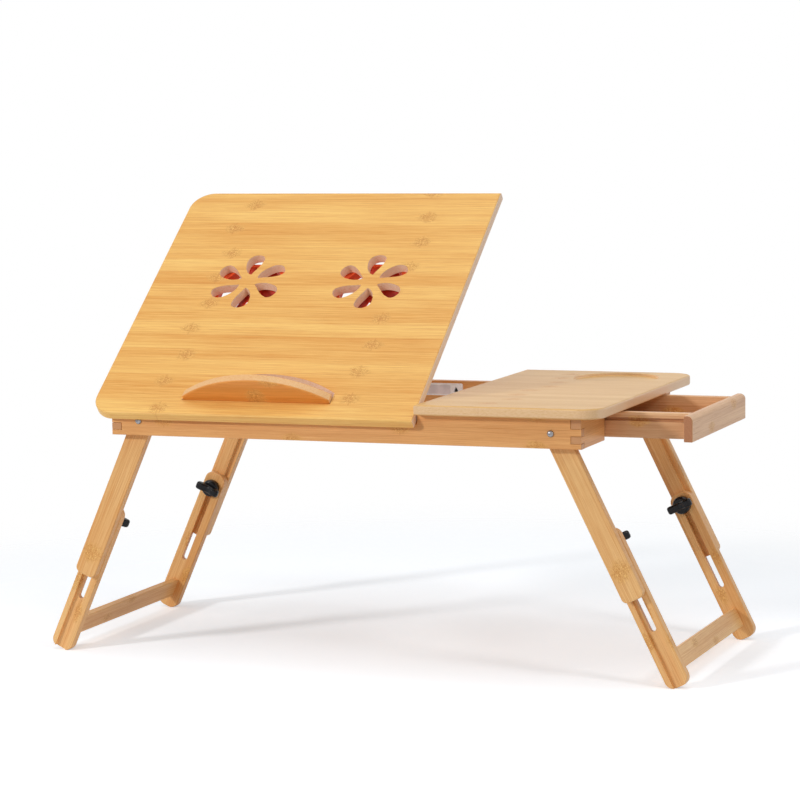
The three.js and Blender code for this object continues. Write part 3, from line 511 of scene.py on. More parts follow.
def flat_cap(points, loops, facing_up):
    """Flat face between an outer loop and its holes, cut into triangles that all face one way. A
    triangle without area is left out."""
    ring = [[Vector((points[i, 0], points[i, 1], 0)) for i in loop] for loop in loops]
    corners = np.concatenate(loops)[np.array(tessellate_polygon(ring))]
    a, b, c = (points[corners[:, k], :2] for k in range(3))
    area = (b[:, 0] - a[:, 0]) * (c[:, 1] - a[:, 1]) - (b[:, 1] - a[:, 1]) * (c[:, 0] - a[:, 0])
    wrong = (area > 0) != facing_up
    corners[wrong] = corners[wrong][:, ::-1]
    return corners[np.abs(area) > 1e-9].tolist()


def eased(way, loop, low, high, ease=0.0, holes=(), hole_ease=0.4, pits=(), steps=4):
    """Outline carried from low to high with rounded rims. Near each end the outline is inset by
    ease times one less the sine of an angle, and stands off the end by ease times one less its
    cosine, as that angle goes from nought to a right angle: a quarter circle. Holes go right
    through with rims of their own. A pit is (loop, depth, fillet), sunk in the high face."""
    if way == "y":
        low, high = -high, -low
    around = np.linspace(0, np.pi / 2, steps + 1)
    across, along = 1 - np.sin(around), 1 - np.cos(around)
    points, faces, lows, highs = [], [], [], []

    def add(outline, insets, heights):
        """Adds one wall and gives the numbers of its first and last ring."""
        rings = wall(outline, insets, heights)
        first = sum(len(part) for part in points)
        points.append(rings.reshape(-1, 3))
        faces.extend(quads(rings, first))
        ring = first + np.arange(rings.shape[1])
        return ring, ring + (len(rings) - 1) * rings.shape[1]

    for outline, radius in [(loop, ease), *((hole[::-1], hole_ease) for hole in holes)]:
        inset, lift = (radius * across, radius * along) if radius else (np.zeros(1), np.zeros(1))
        low_ring, high_ring = add(outline, np.concatenate([inset, inset[::-1]]),
                                  np.concatenate([low + lift, (high - lift)[::-1]]))
        lows.append(low_ring)
        highs.append(high_ring)
    for outline, sink, fillet in pits:
        bottom, high_ring = add(
            outline[::-1], np.concatenate([-fillet * across, hole_ease * along]),
            np.concatenate([high - sink + fillet * along, high - hole_ease * across]))
        faces.append(bottom[::-1].tolist())
        highs.append(high_ring)
    points = np.concatenate(points)
    for loops, facing_up in ((lows, False), (highs, True)):
        if len(loops) == 1:
            faces.append((loops[0] if facing_up else loops[0][::-1]).tolist())
        else:
            faces += flat_cap(points, loops, facing_up)
    return points @ WAYS[way], faces


def block(x0, x1, y0, y1, z0, z1):
    """Plain box between six planes."""
    return eased("z", rectangle(x0, y0, x1, y1), z0, z1)


def lathe(way, profile, u, v, sides=48):
    """Profile of (radius, height) points turned about an axis: at each angle the radius goes out
    along it and the height along the axis. The two ends are closed by flat discs."""
    profile = np.asarray(profile, float)
    around = np.arange(sides) * 2 * np.pi / sides
    circles = np.stack([np.cos(around), np.sin(around)], 1)[None] * profile[:, 0, None, None]
    rise = np.broadcast_to(profile[:, 1, None, None], (len(profile), sides, 1))
    rings = np.concatenate([circles + (u, v), rise], 2)
    faces = quads(rings)
    last = (len(profile) - 1) * sides
    faces.append(list(range(sides))[::-1])
    faces.append(list(range(last, last + sides)))
    return rings.reshape(-1, 3) @ WAYS[way], faces


def moved(shell, place):
    """Shell carried by a matrix."""
    points, faces = shell
    return points @ place[:3, :3].T + place[:3, 3], faces


def mesh_object(name, shells, place):
    """Object whose mesh holds the shells, carried by the place and brought to metres."""
    points, faces, first = [], [], 0
    for shell_points, shell_faces in shells:
        points.append(shell_points)
        faces += [[corner + first for corner in face] for face in shell_faces]
        first += len(shell_points)
    world = np.concatenate(points) @ place[:3, :3].T + place[:3, 3]
    mesh = bpy.data.meshes.new(name)
    mesh.from_pydata(world / METRE + ORIGIN, [], faces)
    mesh.validate()
    mesh.update()
    piece = bpy.data.objects.new(name, mesh)
    bpy.context.scene.collection.objects.link(piece)
    return piece


def bake(piece):
    """Replaces a piece's mesh by what its modifiers make of it."""
    graph = bpy.context.evaluated_depsgraph_get()
    made = bpy.data.meshes.new_from_object(piece.evaluated_get(graph), depsgraph=graph)
    piece.modifiers.clear()
    old, piece.data = piece.data, made
    name = old.name
    bpy.data.meshes.remove(old)
    made.name = name


def make_piece(name, shells, material, body, place=STILL, nodes=(), cuts=(), crease=32):
    """Finished piece: its shells, less what the cuts take, with soft shading up to the crease
    angle, one material, and its body and the frame nodes that it stands for."""
    piece = mesh_object(name, shells, place)
    tools = [mesh_object(f"{name}_cut", [cut], place) for cut in cuts]
    for tool in tools:
        modifier = piece.modifiers.new("cut", "BOOLEAN")
        modifier.operation = "DIFFERENCE"
        modifier.solver = "EXACT"
        modifier.object = tool
    if tools:
        bake(piece)
    for tool in tools:
        mesh = tool.data
        bpy.data.objects.remove(tool)
        bpy.data.meshes.remove(mesh)
    piece.data.polygons.foreach_set("use_smooth", np.ones(len(piece.data.polygons), bool))
    piece.data.set_sharp_from_angle(angle=math.radians(crease))
    normals = piece.modifiers.new("normals", "WEIGHTED_NORMAL")
    normals.keep_sharp = True
    bake(piece)
    piece.data.materials.clear()
    piece.data.materials.append(material)
    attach(piece, body)
    if nodes:
        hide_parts(*nodes)


# ---------------------------------------------------------------- finishes

def node(tree, kind, inputs=None, **settings):
    """Node of a kind, with its settings and with each input linked or set."""
    made = tree.nodes.new(kind)
    for key, value in settings.items():
        setattr(made, key, value)
    for key, value in (inputs or {}).items():
        if isinstance(value, bpy.types.NodeSocket):
            tree.links.new(value, made.inputs[key])
        else:
            made.inputs[key].default_value = value
    return made


def sums(tree, operation, *values):
    """Result of one sum on two or three numbers."""
    return node(tree, "ShaderNodeMath", dict(enumerate(values)), operation=operation).outputs[0]


def fade(tree, value, low, high, to_low=0.0, to_high=1.0):
    """Smooth step of a value from low to high."""
    return node(tree, "ShaderNodeMapRange", {0: value, 1: low, 2: high, 3: to_low, 4: to_high},
                interpolation_type="SMOOTHSTEP", clamp=True).outputs[0]


def blend(tree, factor, first, second):
    """Colour between two colours."""
    return node(tree, "ShaderNodeMix", {0: factor, 6: first, 7: second},
                data_type="RGBA").outputs[2]


def stretched(tree, x, y, z, scale_x, scale_y, scale_z):
    """Vector from three numbers, each times its own scale."""
    scaled = [sums(tree, "MULTIPLY", value, scale)
              for value, scale in ((x, scale_x), (y, scale_y), (z, scale_z))]
    return node(tree, "ShaderNodeCombineXYZ", dict(enumerate(scaled))).outputs[0]


def cloud(tree, vector, scale, detail=2.0, rough=0.5):
    """Noise about one half."""
    return node(tree, "ShaderNodeTexNoise",
                {"Vector": vector, "Scale": scale, "Detail": detail, "Roughness": rough}).outputs[0]


# Inputs of the bamboo group. Lengths are millimetres. Knuckle is the place of the first knuckle
# along the grain, Period the step to the next, and Shift the offset of every second strip. Rim is
# how much of the pale end colour is painted on the board's edges as a highlight, and Lip the line
# across the grain behind which it is.
BAMBOO_INPUTS = {
    "NodeSocketVector": ("Vector", "Normal"),
    "NodeSocketFloat": ("Strip", "Seed", "Knuckle", "Period", "Shift", "Contrast", "Rim", "Lip"),
    "NodeSocketColor": ("Light", "Dark", "Mark", "Knot", "End"),
}

# Noise in the bamboo: scale per millimetre along the grain, across it and through the board, then
# detail and roughness. Drift takes whole strips for its second scale.
GRAIN = {
    "drift": (0.006, 3.1, 0.02, 2.0, 0.5),
    "band": (0.0015, 0.06, 0.02, 2.0, 0.5),
    "streak": (0.01, 1.0, 1.0, 4.0, 0.66),
    "fibre": (0.05, 5.0, 5.0, 2.0, 0.6),
    "fuzz": (0.12, 0.4, 0.4, 3.0, 0.7),
    "veins": (0.3, 0.8, 0.8, 3.0, 0.72),
    "threads": (0.018, 2.0, 2.0, 3.0, 0.6),
    "dots": (0.3, 1.6, 1.6, 3.0, 0.75),
}

# How far a strip's own tone and each noise carry it from its light colour towards its dark one
STRIP_WEIGHT = 0.45
GRAIN_WEIGHTS = {"drift": 0.9, "band": 1.3, "streak": 2.5, "fibre": 1.5}

# How strongly each mark is drawn over the strips
KNOT_GROUND, NET, RING, THREADS, GLUE = 0.45, 0.66, 0.3, 0.42, 0.16

# Millimetres that the strips move across the grain for one step of the seed, that the noise of one
# strip lies from the next along it at most, and that a knuckle strays from its place
SEED_STEP, STRIP_START, KNUCKLE_STRAY = 3.7, 900.0, 15.0

# Half a knuckle's length in millimetres, and half its width as a share of the strip
KNUCKLE_REACH, KNUCKLE_SPREAD = 12.5, 0.46


def grain(tree, layer, x, y, z):
    """One of the bamboo's noises at a place."""
    scale_x, scale_y, scale_z, detail, rough = GRAIN[layer]
    return cloud(tree, stretched(tree, x, y, z, scale_x, scale_y, scale_z), 1.0, detail, rough)


def strip_tone(tree, given, chance, layers):
    """Tone of the strips: each noise less one half, times its weight, added to the strip's own
    tone, times the contrast."""
    mix = sums(tree, "MULTIPLY", sums(tree, "SUBTRACT", chance, 0.5), STRIP_WEIGHT)
    for name, weight in GRAIN_WEIGHTS.items():
        mix = sums(tree, "MULTIPLY_ADD", sums(tree, "SUBTRACT", layers[name], 0.5), weight, mix)
    mix = sums(tree, "MULTIPLY_ADD", mix, given["Contrast"], 0.5)
    mix = node(tree, "ShaderNodeClamp", {0: mix}).outputs[0]
    return blend(tree, mix, given["Light"], given["Dark"])


def knuckle_marks(tree, given, spot, row, across, chance):
    """Marks at even distances along each strip, every second strip shifted: a soft oval patch with
    a frayed edge, a net of thin veins in it, and a fine ring across its middle."""
    place = sums(tree, "MULTIPLY_ADD", sums(tree, "PINGPONG", row, 1.0), given["Shift"],
                 given["Knuckle"])
    place = sums(tree, "MULTIPLY_ADD", sums(tree, "SUBTRACT", chance, 0.5), KNUCKLE_STRAY, place)
    off = sums(tree, "SUBTRACT", spot[0], place)
    turns = sums(tree, "ROUND", sums(tree, "DIVIDE", off, given["Period"]))
    off = sums(tree, "SUBTRACT", off, sums(tree, "MULTIPLY", turns, given["Period"]))
    along = sums(tree, "ABSOLUTE", sums(tree, "DIVIDE", off, KNUCKLE_REACH))
    side = sums(tree, "SUBTRACT", across, 0.5)
    side = sums(tree, "ABSOLUTE", sums(tree, "DIVIDE", side, KNUCKLE_SPREAD))
    patch = sums(tree, "SQRT", sums(tree, "MULTIPLY_ADD", along, along,
                                    sums(tree, "MULTIPLY", side, side)))
    patch = sums(tree, "MULTIPLY_ADD", grain(tree, "fuzz", *spot), 1.4, patch)
    patch = fade(tree, patch, 1.85, 1.15)
    veins = sums(tree, "ABSOLUTE", sums(tree, "SUBTRACT", grain(tree, "veins", *spot), 0.5))
    net = sums(tree, "MULTIPLY", patch, fade(tree, veins, 0.085, 0.02))
    ring = sums(tree, "MULTIPLY", fade(tree, sums(tree, "ABSOLUTE", off), 1.2, 0.3),
                fade(tree, side, 1.2, 0.9))
    return patch, net, ring


def end_grain_and_edge_highlight(tree, given, spot):
    """Share and colour of the dotted strip ends on faces across the grain, and of the same pale
    colour painted on the board's edges as a highlight, as far as Rim and Lip say."""
    facing = node(tree, "ShaderNodeSeparateXYZ", {0: given["Normal"]}).outputs
    # The rim share is a painted highlight: the pale end colour laid on the board's upright edges
    behind = sums(tree, "GREATER_THAN", spot[1], given["Lip"])
    rim = sums(tree, "MULTIPLY", fade(tree, sums(tree, "ABSOLUTE", facing[2]), 0.6, 0.25),
               sums(tree, "MULTIPLY", given["Rim"], behind))
    cut = fade(tree, sums(tree, "ABSOLUTE", facing[0]), 0.62, 0.9)
    dots = fade(tree, grain(tree, "dots", *spot), 0.42, 0.68, 0.0, 0.5)
    return sums(tree, "MAXIMUM", cut, rim), blend(tree, dots, given["End"], given["Dark"])


def bamboo_group():
    """Pressed bamboo: strips side by side along X, each with its own tone, fine fibres drawn out
    along it, thin glue lines between the strips, knuckle marks along them, and dotted end grain,
    whose pale colour is also painted on chosen edges as a highlight."""
    tree = bpy.data.node_groups.new("bamboo_strips", "ShaderNodeTree")
    for kind, names in BAMBOO_INPUTS.items():
        for name in names:
            tree.interface.new_socket(name, in_out="INPUT", socket_type=kind)
    tree.interface.new_socket("Color", in_out="OUTPUT", socket_type="NodeSocketColor")
    tree.interface.new_socket("Height", in_out="OUTPUT", socket_type="NodeSocketFloat")
    given = node(tree, "NodeGroupInput").outputs
    scaled = node(tree, "ShaderNodeVectorMath", {0: given["Vector"], 3: float(METRE)},
                  operation="SCALE").outputs[0]
    x, y, z = node(tree, "ShaderNodeSeparateXYZ", {0: scaled}).outputs
    strips = sums(tree, "DIVIDE", sums(tree, "MULTIPLY_ADD", given["Seed"], SEED_STEP, y),
                  given["Strip"])
    row, across = sums(tree, "FLOOR", strips), sums(tree, "FRACT", strips)
    key = node(tree, "ShaderNodeCombineXYZ", {0: row, 1: given["Seed"]}).outputs[0]
    chance = node(tree, "ShaderNodeTexWhiteNoise", {0: key}, noise_dimensions="3D").outputs
    stray = node(tree, "ShaderNodeSeparateXYZ", {0: chance["Color"]}).outputs[1]
    start = sums(tree, "MULTIPLY_ADD", chance["Value"], STRIP_START, x)

    layers = {
        "drift": grain(tree, "drift", start, row, z), "band": grain(tree, "band", x, y, z),
        "streak": grain(tree, "streak", start, y, z), "fibre": grain(tree, "fibre", start, y, z),
    }
    tone = strip_tone(tree, given, chance["Value"], layers)
    patch, net, ring = knuckle_marks(tree, given, (x, y, z), row, across, stray)
    threads = fade(tree, grain(tree, "threads", start, y, z), 0.55, 0.7)
    edge = sums(tree, "MINIMUM", across, sums(tree, "SUBTRACT", 1.0, across))
    glue = fade(tree, sums(tree, "MULTIPLY", edge, given["Strip"]), 0.5, 0.05)
    marks = [sums(tree, "MULTIPLY", mark, strength) for mark, strength in (
        (net, NET), (ring, RING), (threads, THREADS), (glue, GLUE))]
    shade = sums(tree, "MAXIMUM", sums(tree, "MAXIMUM", *marks[:2]),
                 sums(tree, "MAXIMUM", *marks[2:]))
    ground = blend(tree, sums(tree, "MULTIPLY", patch, KNOT_GROUND), tone, given["Knot"])
    face = blend(tree, shade, ground, given["Mark"])
    cut, ends = end_grain_and_edge_highlight(tree, given, (x, y, z))
    height = sums(tree, "MULTIPLY_ADD", layers["fibre"], 0.5,
                  sums(tree, "MULTIPLY", layers["streak"], 0.5))
    height = sums(tree, "SUBTRACT", height, sums(tree, "MULTIPLY", shade, 0.35))
    node(tree, "NodeGroupOutput", {"Color": blend(tree, cut, face, ends), "Height": height})
    return tree


def mapping(tree, coordinates, output, place, along, across):
    """Coordinates brought to a piece's own frame, with X along its grain and Y across it."""
    third = np.cross(along, across)
    axes = place[:3, :3] @ np.stack([along, across, third], 1)
    turned = Matrix(axes.tolist()).to_euler("XYZ")
    spot = (place[:3, 3] / METRE + ORIGIN).tolist() if output == "Object" else (0, 0, 0)
    return node(tree, "ShaderNodeMapping", {
        "Vector": coordinates.outputs[output], "Location": spot, "Rotation": turned[:]},
        vector_type="TEXTURE").outputs[0]


def seen(tree):
    """One for rays that show the surroundings: to the camera, in gloss or through glass."""
    rays = node(tree, "ShaderNodeLightPath").outputs
    direct = sums(tree, "MAXIMUM", rays["Is Camera Ray"], rays["Is Glossy Ray"])
    return sums(tree, "MAXIMUM", direct, rays["Is Transmission Ray"])


def shader(name):
    """Empty material with its surface shader."""
    material = bpy.data.materials.new(name)
    material.use_nodes = True
    tree = material.node_tree
    tree.nodes.clear()
    surface = node(tree, "ShaderNodeBsdfPrincipled")
    result = node(tree, "ShaderNodeOutputMaterial", {"Surface": surface.outputs[0]})
    return material, tree, surface, result


def bamboo(name, s, family, place=STILL, along=(1, 0, 0), across=(0, 1, 0), strip=20.0, seed=1.0,
           knuckle=60.0, period=430.0, shift_by=213.0, contrast=0.8, gloss=0.42, rim=0.0,
           lip=-1000.0):
    """Bamboo finish of one family of colours, laid along a piece's grain."""
    material, tree, surface, _ = shader(name)
    group = bpy.data.node_groups.get("bamboo_strips") or bamboo_group()
    coordinates = node(tree, "ShaderNodeTexCoord")
    light, dark, end = (getattr(s.finish, f"{family}_{part}") for part in ("light", "dark", "end"))
    strips = node(tree, "ShaderNodeGroup", node_tree=group)
    for key, output in {"Vector": "Object", "Normal": "Normal"}.items():
        tree.links.new(mapping(tree, coordinates, output, place, along, across),
                       strips.inputs[key])
    # Rim and Lip paint the pale end colour on the board's edges as a highlight
    for key, value in {
            "Strip": strip, "Seed": seed, "Knuckle": knuckle, "Period": period, "Shift": shift_by,
            "Contrast": contrast, "Rim": rim, "Lip": lip, "Light": light, "Dark": dark,
            "Mark": s.finish.mark, "Knot": s.finish.knot, "End": end}.items():
        strips.inputs[key].default_value = value
    bump = node(tree, "ShaderNodeBump", {
        "Strength": 0.25, "Distance": 0.0004, "Height": strips.outputs["Height"]})
    tree.links.new(strips.outputs["Color"], surface.inputs["Base Color"])
    tree.links.new(bump.outputs[0], surface.inputs["Normal"])
    for key, value in {"Roughness": gloss, "Specular IOR Level": 0.32, "Coat Weight": 0.07,
                       "Coat Roughness": 0.22}.items():
        surface.inputs[key].default_value = value
    return material


def plastic(name, color, gloss, pebble=0.0004, specular=0.5):
    """Moulded plastic: a faint cloudiness in its colour and a fine pebbled surface."""
    material, tree, surface, _ = shader(name)
    coordinates = node(tree, "ShaderNodeTexCoord").outputs["Object"]
    patches = cloud(tree, coordinates, scale=90.0, detail=3.0)
    deeper = 0.8
    dark = (*[channel * deeper for channel in color[:3]], 1.0)
    tree.links.new(blend(tree, fade(tree, patches, 0.3, 0.7), dark, color),
                   surface.inputs["Base Color"])
    pebbles = cloud(tree, coordinates, scale=1400.0)
    bump = node(tree, "ShaderNodeBump", {"Strength": 0.2, "Distance": pebble, "Height": pebbles})
    tree.links.new(bump.outputs[0], surface.inputs["Normal"])
    tree.links.new(fade(tree, patches, 0.2, 0.8, gloss - 0.05, gloss + 0.07),
                   surface.inputs["Roughness"])
    surface.inputs["Specular IOR Level"].default_value = specular
    return material


def metal(name, color, gloss):
    """Worn metal: darker patches of tarnish, and fine scratches across that change its gloss."""
    material, tree, surface, _ = shader(name)
    coordinates = node(tree, "ShaderNodeTexCoord").outputs["Object"]
    tarnish = cloud(tree, coordinates, scale=260.0, detail=4.0, rough=0.6)
    drawn_out = node(tree, "ShaderNodeMapping", {
        "Vector": coordinates, "Scale": (400.0, 4000.0, 400.0)}).outputs[0]
    scratches = cloud(tree, drawn_out, scale=1.0)
    tarnished = 0.62
    dark = (*[channel * tarnished for channel in color[:3]], 1.0)
    tree.links.new(blend(tree, fade(tree, tarnish, 0.35, 0.7, 0.0, 0.6), color, dark),
                   surface.inputs["Base Color"])
    tree.links.new(fade(tree, scratches, 0.3, 0.7, gloss - 0.06, gloss + 0.1),
                   surface.inputs["Roughness"])
    bump = node(tree, "ShaderNodeBump", {"Strength": 0.15, "Distance": 0.0001, "Height": scratches})
    tree.links.new(bump.outputs[0], surface.inputs["Normal"])
    surface.inputs["Metallic"].default_value = 1.0
    return material


# ---------------------------------------------------------------- operators

class BEDTABLE_OT_tilting_panel(bpy.types.Operator):
    """Build the tilting laptop panel with its two flower vents and the stopper's pocket"""
    bl_idname = "bed_table.tilting_panel"
    bl_label = "Tilting Panel"
    bl_options = {"REGISTER", "UNDO"}

    def execute(self, context):
        s = sizes(context.scene)
        p, v, t = s.panel, s.vent, s.stopper
        petals = 6
        outline = rectangle(s.left, s.front, s.tilt_right, s.back,
                            [p.corner, 0, 0, p.corner], 16)
        pocket = arch(t, end_gap=0.4, arc_gap=t.gap,
                      base=s.axis_y - p.thickness / 2 - s.frame.seat,
                      crown=s.axis_y + t.rise + s.top - s.axis_z)
        slots = [swung(petal(v), v.turn + k * 2 * math.pi / petals, x, y)[::-1]
                 for _, x, y in s.vents for k in range(petals)]
        place = tilted(s)
        shell = eased("z", outline, s.under, s.top, p.edge, [pocket, *slots], v.rim, steps=5)
        # rim paints a highlight in the pale end colour on the panel's edges behind its front
        # corners
        material = bamboo("bamboo_tilting_panel", s, "panel", place, seed=3.0, knuckle=52.0,
                          rim=1.0, lip=s.front + p.corner)
        make_piece("tilting_panel_board", [shell], material, "panel", place,
                   ["tilt_panel"])
        return {"FINISHED"}


class BEDTABLE_OT_side_panel(bpy.types.Operator):
    """Build the fixed side panel with its round cup rest"""
    bl_idname = "bed_table.side_panel"
    bl_label = "Side Panel"
    bl_options = {"REGISTER", "UNDO"}

    def execute(self, context):
        s = sizes(context.scene)
        p = s.panel
        outline = rectangle(s.seam, s.front, s.right, s.back, [0, p.corner, p.corner, 0], 16)
        cup = circle(s.right - p.cup_right, s.back - p.cup_back, p.cup_radius, 96)
        lip, fillet = 0.8, 1.6
        shell = eased("z", outline, s.under, s.top, p.edge, hole_ease=lip,
                      pits=[(cup, p.cup_depth, fillet)], steps=5)
        # rim paints a highlight in the pale end colour on the panel's edges
        material = bamboo("bamboo_side_panel", s, "side", STILL, seed=8.0, knuckle=410.0,
                          contrast=0.6, rim=0.6)
        make_piece("side_panel_board", [shell], material, "frame", STILL,
                   ["side_panel"])
        return {"FINISHED"}


class BEDTABLE_OT_stopper(bpy.types.Operator):
    """Build the arched stopper that holds the laptop's front edge"""
    bl_idname = "bed_table.stopper"
    bl_label = "Stopper"
    bl_options = {"REGISTER", "UNDO"}

    def execute(self, context):
        s = sizes(context.scene)
        p, t = s.panel, s.stopper
        outline = arch(t, end_gap=0, arc_gap=0, base=s.axis_z - t.edge, crown=s.top + t.rise,
                       steps=48)
        body = eased("y", outline, t.front, t.front + p.thickness, t.edge, steps=5)
        half, bevel, right = p.thickness / 2, 0.5, t.left + t.length
        rod = [(half - bevel, t.left), (half, t.left + bevel), (half, right - bevel),
               (half - bevel, right)]
        foot = lathe("x", rod, s.axis_y, s.axis_z, 40)
        place = tilted(s)
        # rim paints a highlight in the pale end colour on the stopper's crown band and ends
        material = bamboo("bamboo_stopper", s, "stopper", place, across=(0, 0, 1), strip=26.0,
                          seed=5.0, knuckle=158.0, period=190.0, contrast=0.7, rim=0.85)
        make_piece("stopper_arch", [body, foot], material, "stopper", place,
                   ["stopper"])
        return {"FINISHED"}


class BEDTABLE_OT_frame_boards(bpy.types.Operator):
    """Build the frame's five boards with their finger-jointed corners"""
    bl_idname = "bed_table.frame_boards"
    bl_label = "Frame Boards"
    bl_options = {"REGISTER", "UNDO"}

    def execute(self, context):
        s = sizes(context.scene)
        f = s.frame
        board, gap, half = f.board, f.board + f.seat, f.seat / 2
        low, mid, high, top = f.finger_low, f.finger_mid, f.finger_high, f.height
        end = s.length
        long_side = softened([
            (0, 0), (end, 0), (end, low - half), (end - gap, low - half),
            (end - gap, mid + half), (end, mid + half), (end, high - half),
            (end - gap, high - half), (end - gap, top), (gap, top), (gap, high - half),
            (0, high - half), (0, mid + half), (gap, mid + half), (gap, low - half),
            (0, low - half)], 0)
        wedge = self.relief(s)
        for name, y0, node_name, cuts, seed in (
                ("front_apron_board", 0, "front_apron", [wedge], 2.0),
                ("back_rail_board", s.depth - board, "back_rail", [], 6.0)):
            shell = eased("y", long_side, y0, y0 + board, f.edge, steps=3)
            material = bamboo(f"bamboo_{node_name}", s, "frame", STILL, across=(0, 0, 1),
                              strip=16.0, seed=seed, knuckle=205.0, period=260.0, shift_by=120.0)
            make_piece(name, [shell], material, "frame", STILL, [node_name], cuts)

        def notched(y0, y1, front, back):
            """Outline of an end board along Y, with fingers at the ends that have them."""
            fingers = [(0, low + half), (mid - half, high + half)]
            right, left = [], []
            for z0, z1 in fingers:
                if back:
                    right += [(y1 - gap, z0), (y1 - gap, z1), (y1, z1)]
                    right += [(y1, mid - half)] if z0 == 0 else []
                if front:
                    left += [(y0 + gap, z0), (y0 + gap, z1), (y0, z1)]
                    left += [(y0, mid - half)] if z0 == 0 else []
            right = right or [(y1, 0)]
            left = left or [(y0, 0)]
            return softened([*right, (y1, top), (y0, top), *left[::-1]], 0)

        for name, x0, loop, node_name, cuts, seed in (
                ("left_end_board", 0, notched(0, s.depth, True, True), "left_end_rail", [wedge],
                 11.0),
                ("right_end_front_board", end - board, notched(0, f.end_return, True, False),
                 "right_end_front", [], 13.0),
                ("right_end_back_board", end - board,
                 notched(s.depth - f.end_return, s.depth, False, True), "right_end_back", [],
                 17.0)):
            shell = eased("x", loop, x0, x0 + board, f.edge, steps=3)
            material = bamboo(f"bamboo_{node_name}", s, "frame", STILL, (0, 1, 0), (0, 0, 1),
                              strip=16.0, seed=seed, knuckle=90.0, period=250.0, shift_by=110.0)
            make_piece(name, [shell], material, "frame", STILL, [node_name], cuts)
        return {"FINISHED"}

    def relief(self, s):
        """Wedge that the tilted panel's underside needs over the front boards. Its lower side is
        that underside, a line that leans by the tilt."""
        p, f = s.panel, s.frame
        clear = -2
        y = np.array([clear, p.pin_y + f.board])
        rise = s.under - p.pin_z - f.seat + (y - p.pin_y) * math.sin(p.tilt)
        near, far = p.pin_z + rise / math.cos(p.tilt)
        loop = np.array([(clear, near), (y[1], far), (clear, far)])
        return eased("x", loop, clear, s.seam)


class BEDTABLE_OT_drawer(bpy.types.Operator):
    """Build the drawer: front board, two grooved sides, back board and floor"""
    bl_idname = "bed_table.drawer"
    bl_label = "Drawer"
    bl_options = {"REGISTER", "UNDO"}

    def execute(self, context):
        s = sizes(context.scene)
        d, gap = s.drawer, s.frame.seat
        x1 = s.length
        x0 = x1 - d.length
        y0, y1 = s.drawer_front, s.drawer_back
        z0, z1 = d.bottom, d.top
        g0, g1, deep = d.groove_low, d.groove_low + d.groove_width, d.groove_depth
        edge, groove_edge, end_ease = d.edge, 0.3, 0.25
        place = shift(d.drawn, 0, 0)
        front_side = softened([(y0, z0), (y0 + d.wall, z0), (y0 + d.wall, z1), (y0, z1), (y0, g1),
                               (y0 + deep, g1), (y0 + deep, g0), (y0, g0)],
                              [*[edge] * 4, *[groove_edge] * 4], 4)
        back_side = softened([(y1 - d.wall, z0), (y1, z0), (y1, g0), (y1 - deep, g0),
                              (y1 - deep, g1), (y1, g1), (y1, z1), (y1 - d.wall, z1)],
                             [edge, edge, *[groove_edge] * 4, edge, edge], 4)
        across_back = rectangle(x0, z0, x0 + d.wall, z1, edge, 4)
        front_face = rectangle(x1 + gap, z0, x1 + gap + d.wall, d.front_top,
                               [edge, edge, d.front_round, edge], 8)
        floor_low = z0 + d.floor_lift
        floor = eased("z", rectangle(x0 + d.wall + gap, y0 + d.wall + gap, x1, y1 - d.wall - gap),
                      floor_low, floor_low + d.floor)
        inner = (y0 + d.wall + gap, y1 - d.wall - gap)
        side_grain, end_grain_way, floor_grain = (
            ((1, 0, 0), (0, 0, 1)), ((0, 1, 0), (0, 0, 1)), ((0, 1, 0), (1, 0, 0)))
        boards = (
            ("drawer_side_front", eased("x", front_side, x0, x1, end_ease, steps=2), side_grain,
             21.0, 0.42),
            ("drawer_side_back", eased("x", back_side, x0, x1, end_ease, steps=2), side_grain,
             23.0, 0.42),
            ("drawer_back_board", eased("y", across_back, *inner, end_ease, steps=2),
             end_grain_way, 25.0, 0.42),
            ("drawer_front_board", eased("y", front_face, y0 - d.overlap, y1 + d.overlap, 0.9),
             end_grain_way, 27.0, 0.4),
            ("drawer_bottom", floor, floor_grain, 29.0, 0.5),
        )
        for name, shell, ways, seed, gloss in boards:
            material = bamboo(f"bamboo_{name}", s, "drawer", place, *ways,
                              strip=13.0, seed=seed, knuckle=120.0, period=240.0, shift_by=90.0,
                              gloss=gloss)
            make_piece(f"{name}_piece", [shell], material, "drawer", place, [name])
        return {"FINISHED"}


